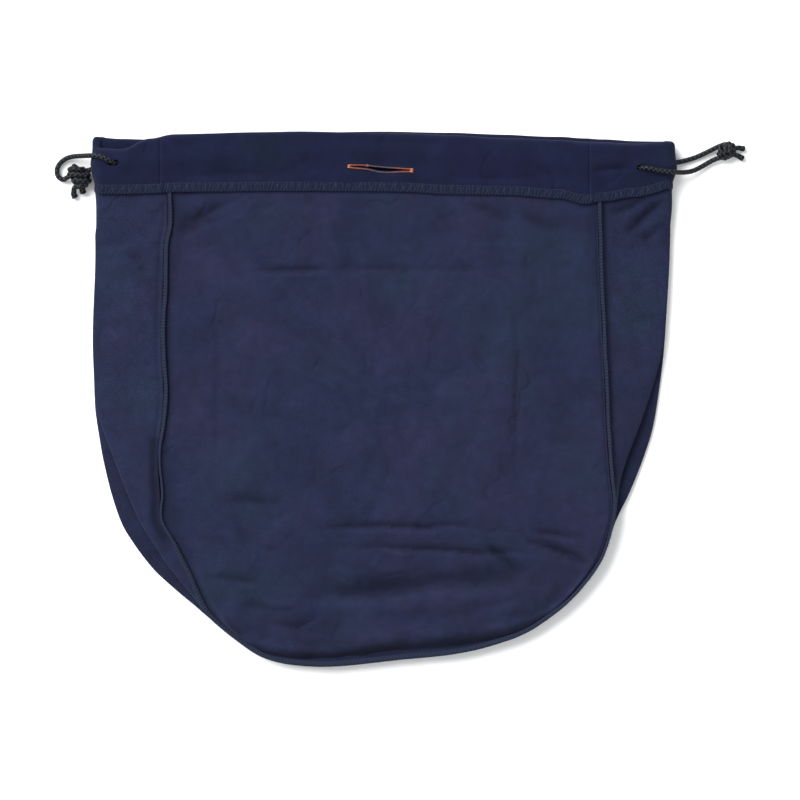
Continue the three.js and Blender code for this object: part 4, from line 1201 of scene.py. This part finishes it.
class HELMETBAG_OT_front_panel(bpy.types.Operator):
    """Makes the U-shaped front panel with its creases"""

    bl_idname = "helmet_bag.front_panel"
    bl_label = "Front panel"

    def execute(self, context):
        form = bag_form()
        s = form.s
        u, v = close_ends(FRONT_GRID[0], s.panel_width), close_ends(FRONT_GRID[1], s.panel_length)
        grid, across, down = form.panel_patch(form.front_seam, form.front_hem, u, v)

        def rim_height(share):
            return form.front_edge(form.front_seam[0].at(share))[:, None]

        def top(share):
            place = form.front_seam[0].at(np.array([0.0, 1.0]))[:, 0]
            x = mix(place[0] + form.edge_gap, place[1] - form.edge_gap, np.atleast_1d(share))
            return (form.face_height(x) - form.slot_level)[:, None]

        def bottom(share):
            return rim_height(mix(form.left_corner, form.right_corner, np.atleast_1d(share)))

        left = rim_height(down * form.left_corner)[:, None]
        right = rim_height(1 - down * (1 - form.right_corner))[:, None]
        rim = form.coons(across, down, left, right, bottom, top)[..., 0]
        near = np.minimum(across, 1 - across)[None, :]
        far = np.minimum(down, 1 - down)[:, None]
        dome = smooth(near / 0.25) * smooth(far / 0.22)
        edge = rim_distance(grid)
        hem_far = smooth((v[:, None] * s.panel_length - s.slot_depth - 2 * MM) / (12 * MM))
        free = smooth((edge - 3 * MM) / (10 * MM)) * hem_far
        x, y = grid[..., 0], grid[..., 1]
        soft = waves(grid, PANEL_WAVES)
        bulge = 1.1 * hump(edge, 11 * MM, 6 * MM) * (1 + 0.8 * ripple(grid, 0.03, 15))
        pucker = hump(edge, 5 * MM, 6 * MM) * 0.7 * ripple(grid, 0.012, 14)
        # the cloth rolls over the bottom seam: deep beside it, then high
        low = smooth((form.bottom_y + 90 * MM - y) / (60 * MM))
        rolled = low * smooth((115 * MM - x) / (60 * MM)) * smooth((x + 130 * MM) / (90 * MM))
        # a gutter runs beside the seams, wide and deep where the cloth rolls
        wide = 1.5 + 3.2 * rolled * (0.8 + 0.7 * ripple(grid, 0.05, 16))
        deep = (0.9 + 2.0 * rolled * (1 + 0.5 * ripple(grid, 0.04, 17))) * (1 - 0.75 * form.edge_on(grid))
        gutter = -deep * hump(edge, mix(1.2, 3.4, rolled) * MM, wide * MM)
        roll = 2.8 * rolled * hump(edge, 16 * MM, 8 * MM) * (1 + 0.5 * ripple(grid, 0.06, 18))
        # under the casing's hem the cord and the doubled cloth lift the panel
        held = 1 - smooth((v[:, None] * s.panel_length - 22 * MM) / (30 * MM))
        raised = 0.9 * smooth((160 * MM - np.abs(x)) / (30 * MM)) * held
        by_seam = (bulge * (0.35 + low) + pucker + gutter + roll) * hem_far
        lift = soft * (1 + 1.5 * low) * free + by_seam + raised
        relief = crease_relief(grid, PANEL_CREASES) * free
        # painted shade where shade falls: under the roll, in the creases and beside the left seam
        painted_shade = 1.3 * rolled * hump(edge, 6.5 * MM, 5.5 * MM) + np.clip(-relief / (3.5 * MM), 0, 1)
        painted_shade = painted_shade + 0.9 * hump(edge, 3 * MM, 3 * MM) * (x < 0) * (1 - rolled)
        grid[..., 2] = rim + s.puff * dome + relief + lift * MM
        mesh = closed_wall("front_panel", grid, s.wall, painted_light_and_taper=-painted_shade)
        panel = add_piece("front_panel_cloth", mesh, "Cotton twill face", ("front_panel",))
        return {"FINISHED"}


class HELMETBAG_OT_back_panel(bpy.types.Operator):
    """Makes the like panel that lies on the surface"""

    bl_idname = "helmet_bag.back_panel"
    bl_label = "Back panel"

    def execute(self, context):
        form = bag_form()
        s = form.s
        land_across, land_up, slot_up = form.panel_shares()
        u = grid_shares(BACK_GRID[0], land_across, land_across)
        v = grid_shares(BACK_GRID[1], slot_up, land_up)
        grid, across, down = form.panel_patch(form.back_seam, form.back_hem, u, v)
        near = np.minimum(across, 1 - across)[None, :] * s.panel_width
        far = np.minimum(down, 1 - down)[:, None] * s.panel_length
        lie = smooth(np.minimum(near, far) / form.settle_width)
        lift = 0.35 * MM * (1 + ripple(grid, 0.05, 21)) * lie
        grid[..., 2] = mix(form.back_edge, s.layer / 2, lie) + lift
        mesh = closed_wall("back_panel", grid, s.wall)
        panel = add_piece("back_panel_cloth", mesh, "Cotton twill face", ("back_panel",))
        return {"FINISHED"}


class HELMETBAG_OT_gusset(bpy.types.Operator):
    """Makes the long strip between the panels, folded outwards at the sides and tucked in at the bottom"""

    bl_idname = "helmet_bag.gusset"
    bl_label = "Gusset"

    def execute(self, context):
        form = bag_form()
        share = grid_shares(GUSSET_LINES, form.slot_share, form.slot_share)
        sections = form.gusset_sections(share)
        near = [mix(sections[:, 0], sections[:, 1], part) for part in (0.08, 0.2, 0.35, 0.6)]
        sections = np.insert(sections, [1], np.stack(near, axis=1), axis=1)
        grid = corner_cut(sections, 2)
        edge = np.linalg.norm(np.diff(grid, axis=1), axis=2).cumsum(axis=1)
        edge = np.pad(edge, ((0, 0), (1, 0)))
        fold = np.linalg.norm(sections[:, 7] - sections[:, 0], axis=1)[:, None]
        front = smooth((edge - 3 * MM) / (8 * MM)) * smooth((fold - edge) / (8 * MM))
        soft = waves(grid, GUSSET_WAVES)
        turned = form.edge_on(sections[:, :1])
        # a gutter runs beside the front seam, wider where the seam stands on its edge
        gutter = -(0.7 + 0.7 * turned) * hump(edge, 3.2 * MM, (1.8 + 1.8 * turned) * MM)
        gutter = gutter * smooth((fold - 8 * MM) / (8 * MM))
        below_hem = smooth((form.hem_y - 4 * MM - grid[..., 1]) / (14 * MM))
        relief = crease_relief(grid, GUSSET_CREASES)
        # turn counts the strip's own folds. Painted light: a painted highlight on the crest of the lower of its
        # two outer folds, and painted shade under that fold, in the creases, beside the front seam where it
        # stands on its edge and beside the right seam
        turn = np.linspace(0, 16, grid.shape[1])[None, :]
        loose = smooth((-15 * MM - sections[:, :1, 1]) / (40 * MM))
        under = smooth((turn - 7.4) / 0.5) * smooth((13.2 - turn) / 0.8)
        painted_light_and_taper = (2.6 * hump(turn, 6.9, 0.3) - 0.5 * under) * loose
        painted_light_and_taper = painted_light_and_taper - np.clip(-relief / (3.5 * MM), 0, 1) * front
        painted_light_and_taper = painted_light_and_taper - 1.4 * turned * hump(edge, 3.4 * MM, 4.6 * MM)
        painted_light_and_taper = painted_light_and_taper - 0.9 * hump(edge, 3.5 * MM, 3 * MM) * (sections[:, :1, 0] > 0)
        grid[..., 2] += ((relief + soft * MM) * front + gutter * MM) * below_hem
        mesh = closed_wall("gusset", grid, form.s.wall, painted_light_and_taper=painted_light_and_taper)
        gusset = add_piece("gusset_cloth", mesh, "Cotton twill face", ("gusset",))
        return {"FINISHED"}


class HELMETBAG_OT_seams(bpy.types.Operator):
    """Makes the two seam ridges with their overlock stitches"""

    bl_idname = "helmet_bag.seams"
    bl_label = "Seams"

    def execute(self, context):
        form = bag_form()
        s = form.s
        for name, seam, upward in (("front_seam", form.front_seam, 1), ("back_seam", form.back_seam, -1)):
            first = (s.slot_depth + 3 * s.clearance) / form.seam_length
            share = np.linspace(first, 1 - first, RIDGE_LINES)
            place, out, _ = form.seam_at(seam, share)
            if upward > 0:
                base = form.front_edge(place) + s.layer / 2 + 0.1 * MM
            else:
                base = form.back_edge - s.layer / 2 - 0.1 * MM + 0 * place[:, 0]
            left, right = self.by_height(place, LEFT_RIDGE), self.by_height(place, RIGHT_RIDGE)
            rows = np.where(place[:, :1] < 0, left, right)
            width, lean = rows.T if upward > 0 else (0.9 + 0 * rows[:, 0], 0 * rows[:, 0])
            uneven = ripple(place + [0.3, 0, 0], 0.012, 41 + upward)
            width = softened(width, 12) * (1 + 0.12 * uneven) * s.ridge_width * RIDGE_SHARE
            lean = softened(lean, 16) + 0.25 * uneven
            round_it = np.linspace(0, 2 * np.pi, 16, endpoint=False)
            flat = np.sign(np.cos(round_it)) * np.abs(np.cos(round_it)) ** 0.75
            tall = (1 + np.sign(np.sin(round_it)) * np.abs(np.sin(round_it)) ** 0.75) / 2
            wander = ripple(place + [0.1, 0, 0], 0.026, 44) * (0.75 + 0.4 * form.edge_on(place))
            drift = (lean[:, None] * (0.5 + 0.5 * tall[None]) + wander[:, None]) * MM
            grid = place[:, None] + out[:, None] * (flat[None] * width[:, None] + drift)[..., None]
            wave = 1 + 0.05 * np.sin(2 * np.pi * share * form.seam_length / s.overlock_pitch) + 0.08 * uneven
            tilt = 1 + 0.4 * lean[:, None] * flat[None]
            grid[..., 2] = base[:, None] + upward * tall[None] * tilt * (s.ridge_height * 0.95 * wave)[:, None]
            # its UV map takes each side of a section as 0.8 mm
            round_at = np.arange(len(round_it) + 1) * 0.8 * MM
            mesh = pipe_mesh(name, grid, round_at, travelled(grid[:, 0]))
            add_piece(name + "_edge", mesh, "Overlocked cloth edge", (name,))
            if upward > 0:
                place = place + out * ((lean * 0.8 + wander) * MM)[:, None]
            crest = place.copy()
            crest[:, 2] = base
            # hoops fit a ridge of the usual width, and sink a little where it is narrower
            usual = 0.72 if upward > 0 else 0.9
            half, top = usual * s.ridge_width * RIDGE_SHARE / MM + 0.1, s.ridge_height / MM
            hoop = [(-half, 0.1, 0.7), (-half * 0.95, 0.75 * top, 0.5), (-half * 0.4, top, 0.25),
                    (half * 0.4, top, -0.25), (half * 0.95, 0.75 * top, -0.5), (half, 0.1, -0.7)]
            facing = np.tile([0, 0, float(upward)], (len(crest), 1))
            narrower = np.maximum(0, usual - width / (s.ridge_width * RIDGE_SHARE))
            crest[:, 2] -= upward * narrower * s.ridge_height
            full = np.flatnonzero(form.edge_on(place) < 0.05) if upward > 0 else np.arange(len(place))
            runs = [(crest[k], facing[k], False) for k in np.split(full, np.flatnonzero(np.diff(full) > 1) + 1)]
            wraps = stitched(name + "_wraps", runs, hoop, s.overlock_pitch, 0.4, 5, "Spun navy thread")
            add_piece(name + "_stitches", wraps, "Spun navy thread")
        return {"FINISHED"}

    @staticmethod
    def by_height(place, rows):
        rows = np.array(rows)
        return np.stack([np.interp(place[:, 1], rows[:, 0] * MM, rows[:, k]) for k in (1, 2)], axis=1)


def slit_lip(form, share, side, grow):
    """Places along a lip of the slit: side 1 is the upper one. grow moves it off the other lip."""
    rows = np.array(SLIT_LIPS)
    off = np.interp(share, rows[:, 0], rows[:, 1 if side > 0 else 2]) * MM + side * grow * MM
    x0, y0 = form.casing_place(*SLIT_PLACE)
    turn = math.radians(SLIT_DEGREES)
    along = share * form.s.slit_length / 2
    x = x0 + along * math.cos(turn) - off * math.sin(turn)
    y = y0 + along * math.sin(turn) + off * math.cos(turn)
    return np.stack([x, y, form.face_height(x) + 0.3 * MM], axis=1)


def casing_stations(form, step=2.4 * MM):
    """Each station round the mouth: a function from depth to place, its hem, its top edge and its facing."""
    s = form.s
    stations = []

    def dropped(x, name):
        return float(s.casing_height * form.casing_edge(x, name))

    count = int(2 * form.fold_centre / step)
    even = np.linspace(-form.fold_centre, form.fold_centre, count, endpoint=False)
    joins = [place + np.arange(-5, 5, 0.7) * MM for place in form.casing_joins]
    clear = [x for x in even if min(abs(x - place) for place in form.casing_joins) > 5.2 * MM]
    for x in np.sort(np.concatenate([clear, *joins])):
        height = float(form.face_height(x))
        stations.append((
            lambda depth, x=x, height=height: (x, height - depth),
            float(form.front_hem(x)), form.top_y - dropped(x, "front_top"), (0.0, 1.0),
        ))

    def add_fold(side):
        x_end = side * form.half_width
        turns = int(math.pi * form.side_radius / step) + 4
        for turned in np.linspace(0, 1, turns, endpoint=False):
            degrees = side * mix(90, -90, turned)
            down = turned if side > 0 else 1 - turned

            def face(depth, degrees=degrees):
                x, z = form.fold_loop(degrees, depth)
                return side * x, z

            angle = math.radians(degrees)
            early = float(smooth((down - 0.26) / 0.28))
            top = form.top_y - mix(dropped(x_end, "front_top"), dropped(x_end, "back_top"), early)
            hem = mix(float(form.front_hem(x_end)), form.hem_y, down)
            stations.append((face, hem, top, (side * math.cos(angle), math.sin(angle))))

    add_fold(1)
    for x in np.linspace(form.fold_centre, -form.fold_centre, count, endpoint=False):
        stations.append((
            lambda depth, x=x: (x, depth), form.hem_y, form.top_y - dropped(x, "back_top"), (0.0, -1.0),
        ))
    add_fold(-1)
    return stations


class HELMETBAG_OT_casing(bpy.types.Operator):
    """Makes the doubled ring of cloth round the mouth, with its cord holes and its slit"""

    bl_idname = "helmet_bag.casing"
    bl_label = "Casing"

    def execute(self, context):
        form = bag_form()
        s = form.s
        stations = casing_stations(form)
        grid = np.array([self.profile(form, face, hem, top) for face, hem, top, _ in stations])
        x, y, z = grid[..., 0], grid[..., 1], grid[..., 2]
        column = np.arange(grid.shape[1])[None, :] / (grid.shape[1] - 1)
        outer = smooth((0.5 - column) / 0.12)
        facing = np.array([[across, 0.0, up] for _, _, _, (across, up) in stations])
        run = np.array(FRONT_RUN)
        line = np.interp(x / form.half_width, run[:, 0], form.hem_y + run[:, 1] * s.casing_height)
        over_cord = 1.3 * hump(y - line, 1 * MM, 7 * MM)
        join = 0
        for place in form.casing_joins:
            join = join + 0.7 * smooth((x - place) / (0.8 * MM)) * np.exp(-np.abs(x - place) / (9 * MM))
            join = join - 0.7 * hump(x, place, 0.9 * MM)
        upright = smooth((y - form.hem_y) / (10 * MM))
        folds = crease_relief(grid, CASING_CREASES) / MM
        lift = ((over_cord + waves(grid, CASING_WAVES) + folds) * upright + join) * outer
        lift = lift * (z > form.side_radius)
        grid += facing[:, None] * (lift * MM)[..., None]
        near_top = smooth((y - form.hem_y - 0.6 * s.casing_height) / (0.3 * s.casing_height))
        grid[..., 1] += 0.6 * MM * ripple(np.stack([x, z], axis=-1), 0.035, 53) * near_top
        grid[..., 0] = form.drawn_in(x, y)
        crest = np.array([top for _, _, top, _ in stations])[:, None]
        # a painted highlight along the crest of the casing's top fold
        painted_light_and_taper = 0.9 * hump(y - crest, -0.6 * MM, 1.3 * MM) * outer * (z > form.side_radius)
        mesh = self.with_openings(context, form, closed_wall("casing", grid, s.wall, ring=True, painted_light_and_taper=painted_light_and_taper))
        casing = add_piece("casing_cloth", mesh, "Cotton twill reverse", ("casing",))
        return {"FINISHED"}

    @staticmethod
    def profile(form, face, hem, top):
        s = form.s
        bend, half = s.tunnel_depth / 2, s.layer / 2
        low, high = hem + s.pinch_height, hem + 2 * s.pinch_height
        outline = [(half, hem)]
        outline += [(half, y) for y in np.linspace(low, top - bend, 12)]
        for degrees in (30, 60, 90, 120, 150):
            angle, radius = math.radians(degrees), bend - half
            outline.append((bend - radius * math.cos(angle), top - bend + radius * math.sin(angle)))
        outline += [(s.tunnel_depth - half, y) for y in np.linspace(top - bend, high, 11)]
        outline += [(form.inner_leg + half, low), (form.inner_leg + half, hem)]
        places = [(face(depth), y) for depth, y in outline]
        return corner_cut(np.array([[(x, y, z) for (x, z), y in places]]), 1)[0]

    def with_openings(self, context, form, mesh):
        """The casing's mesh with its cord holes and its slit cut through the outer layer alone."""
        turn = np.linspace(0, 2 * np.pi, 20, endpoint=False)
        outlines = []
        for across, up in FRONT_HOLES:
            x, y = form.casing_place(across, up)
            ends = HOLE_RUN * np.sign(np.cos(turn)) + HOLE_RADIUS[0] * np.cos(turn)
            outlines.append((x + ends, y + HOLE_RADIUS[1] * np.sin(turn)))
        share = np.linspace(-0.97, 0.97, 24)
        upper = slit_lip(form, share, 1, -0.35)
        lower = slit_lip(form, share[::-1], -1, -0.3 - 0.9 * (1 - share ** 2))
        outlines.append(np.concatenate([upper, lower])[:, :2].T)
        joined = bmesh.new()
        for x, y in outlines:
            z = float(form.face_height(x.mean())) + 1.2 * MM
            bottom = [joined.verts.new((px, py, z - 4.2 * MM)) for px, py in zip(x, y)]
            top = [joined.verts.new((px, py, z + 4 * MM)) for px, py in zip(x, y)]
            joined.faces.new(bottom[::-1])
            joined.faces.new(top)
            count = len(bottom)
            for k in range(count):
                ahead = (k + 1) % count
                joined.faces.new((bottom[k], bottom[ahead], top[ahead], top[k]))
        bmesh.ops.recalc_face_normals(joined, faces=joined.faces)
        cutter_mesh = bpy.data.meshes.new("openings")
        joined.to_mesh(cutter_mesh)
        joined.free()
        cutter = bpy.data.objects.new("openings", cutter_mesh)
        whole = bpy.data.objects.new("uncut casing", mesh)
        for helper in (cutter, whole):
            context.scene.collection.objects.link(helper)
        modifier = whole.modifiers.new("Openings", "BOOLEAN")
        modifier.operation, modifier.solver, modifier.object = "DIFFERENCE", "EXACT", cutter
        context.view_layer.update()
        cut = bpy.data.meshes.new_from_object(whole.evaluated_get(context.evaluated_depsgraph_get()))
        for helper in (cutter, whole):
            bpy.data.objects.remove(helper)
        cut.shade_smooth()
        return cut


class HELMETBAG_OT_hem_stitches(bpy.types.Operator):
    """Sews the casing's hem: overlock over its edge and a straight row above it"""

    bl_idname = "helmet_bag.hem_stitches"
    bl_label = "Hem stitches"

    def execute(self, context):
        form = bag_form()
        s = form.s
        edge, row, facing, strip = [], [], [], []
        rise, band = 0.35 * MM, s.band / MM
        section = [*BAND_SECTION, (1, 0.5 * band), (0.9, band - 0.8), (0.1, band)]
        for face, hem, _, (across, up) in casing_stations(form):
            x, z = face(s.layer / 2 - s.wall / 2)
            x = float(form.drawn_in(x, hem + 2 * MM))
            edge.append((x, hem, z))
            row.append((x, hem + s.band, z))
            facing.append((across, 0.0, up))
            strip.append([(x + across * rise * t, hem + h * MM, z + up * rise * t) for t, h in section])
        strip = np.array(strip)
        strip[..., 1] += 0.25 * MM * ripple(strip[..., [0, 2]], 0.006, 61)
        band_mesh = closed_wall("hem_band", strip, 0.2 * MM, ring=True)
        add_piece("hem_overlock_band", band_mesh, "Overlocked hem")
        under = (-0.2, -s.wall / MM, -0.1)
        hoop = [(band, 0.2, 0.9), (band * 0.6, 0.5, 0.5), (0.6, 0.5, 0.1), (-0.6, 0.2, 0), under]
        dash = [(0, -0.1, -1.3), (0, 0.25, -0.6), (0, 0.25, 0.6), (0, -0.1, 1.3)]
        for name, kind, path, stitch, pitch, jitter, seed in (
            ("hem_overlock", "overlock", edge, hoop, s.overlock_pitch, 0.6, 7),
            ("hem_row", "straight", row, dash, s.hem_pitch, 0.05, 8),
        ):
            mesh = stitched(name, [(path, facing, True)], stitch, pitch, jitter, seed, "Spun dark thread")
            add_piece("hem_" + kind + "_stitches", mesh, "Spun dark thread")
        return {"FINISHED"}


class HELMETBAG_OT_slit_stitches(bpy.types.Operator):
    """Sews the slit's two lips and its end bars in orange thread"""

    bl_idname = "helmet_bag.slit_stitches"
    bl_label = "Slit stitches"

    def execute(self, context):
        form = bag_form()
        s = form.s
        share = np.linspace(-1, 1, 48)
        up = np.tile([0, 0, 1.0], (48, 1))
        runs = [(slit_lip(form, share, side, 0.1), up, False) for side in (1, -1)]
        satin, thread = [(-0.5, 0, 0.12), (0, 0.3, 0), (0.5, 0, -0.12)], "Spun orange thread"
        lips = stitched("slit_lips", runs, satin, s.satin_pitch, 0.25, 9, thread)
        bars = []
        for end, tall in ((-1, 0.8), (1, 1.0), (-0.42, 0.5)):
            middle = slit_lip(form, np.array([end]), 1, 0)[0]
            if end in (-1, 1):
                middle = (middle + slit_lip(form, np.array([end]), -1, 0)[0]) / 2
            off = np.linspace(-1.4, 1.4, 8)[:, None] * tall * MM
            bars.append((middle + off * [0.07, 1, 0] + [0, 0, 0.15 * MM], up[:8], False))
        tack = [(-1.2, 0, 0), (0, 0.7, 0), (1.2, 0, 0)]
        tacks = stitched("slit_tacks", bars, tack, 0.45 * MM, 0.3, 10, thread)
        add_piece("slit_stitches", joined_mesh("slit_stitches", (lips, tacks)), thread)
        return {"FINISHED"}


class HELMETBAG_PT_panel(bpy.types.Panel):
    """Lists the steps and the sizes of the bag"""

    bl_idname = "HELMETBAG_PT_panel"
    bl_label = "Helmet Bag"
    bl_space_type = "VIEW_3D"
    bl_region_type = "UI"
    bl_category = "Helmet Bag"

    def draw(self, context):
        column = self.layout.column()
        for step in STEPS:
            column.operator(step.bl_idname)
        for group in (context.scene.helmet_bag_sizes, context.scene.helmet_bag_colours):
            for name in group.__annotations__:
                column.prop(group, name)


STEPS = (
    HELMETBAG_OT_stage,
    HELMETBAG_OT_free_cords,
    HELMETBAG_OT_held_cords,
    HELMETBAG_OT_front_panel,
    HELMETBAG_OT_back_panel,
    HELMETBAG_OT_gusset,
    HELMETBAG_OT_casing,
    HELMETBAG_OT_seams,
    HELMETBAG_OT_hem_stitches,
    HELMETBAG_OT_slit_stitches,
)
CLASSES = (HelmetBagSizes, HelmetBagColours, *STEPS, HELMETBAG_PT_panel)


def register():
    for kind in CLASSES:
        bpy.utils.register_class(kind)
    bpy.types.Scene.helmet_bag_sizes = bpy.props.PointerProperty(type=HelmetBagSizes)
    bpy.types.Scene.helmet_bag_colours = bpy.props.PointerProperty(type=HelmetBagColours)


def unregister():
    del bpy.types.Scene.helmet_bag_colours
    del bpy.types.Scene.helmet_bag_sizes
    for kind in reversed(CLASSES):
        bpy.utils.unregister_class(kind)


def main():
    register()
    for step in STEPS:
        group, name = step.bl_idname.split(".")
        getattr(getattr(bpy.ops, group), name)()


if __name__ == "__main__":
    main()
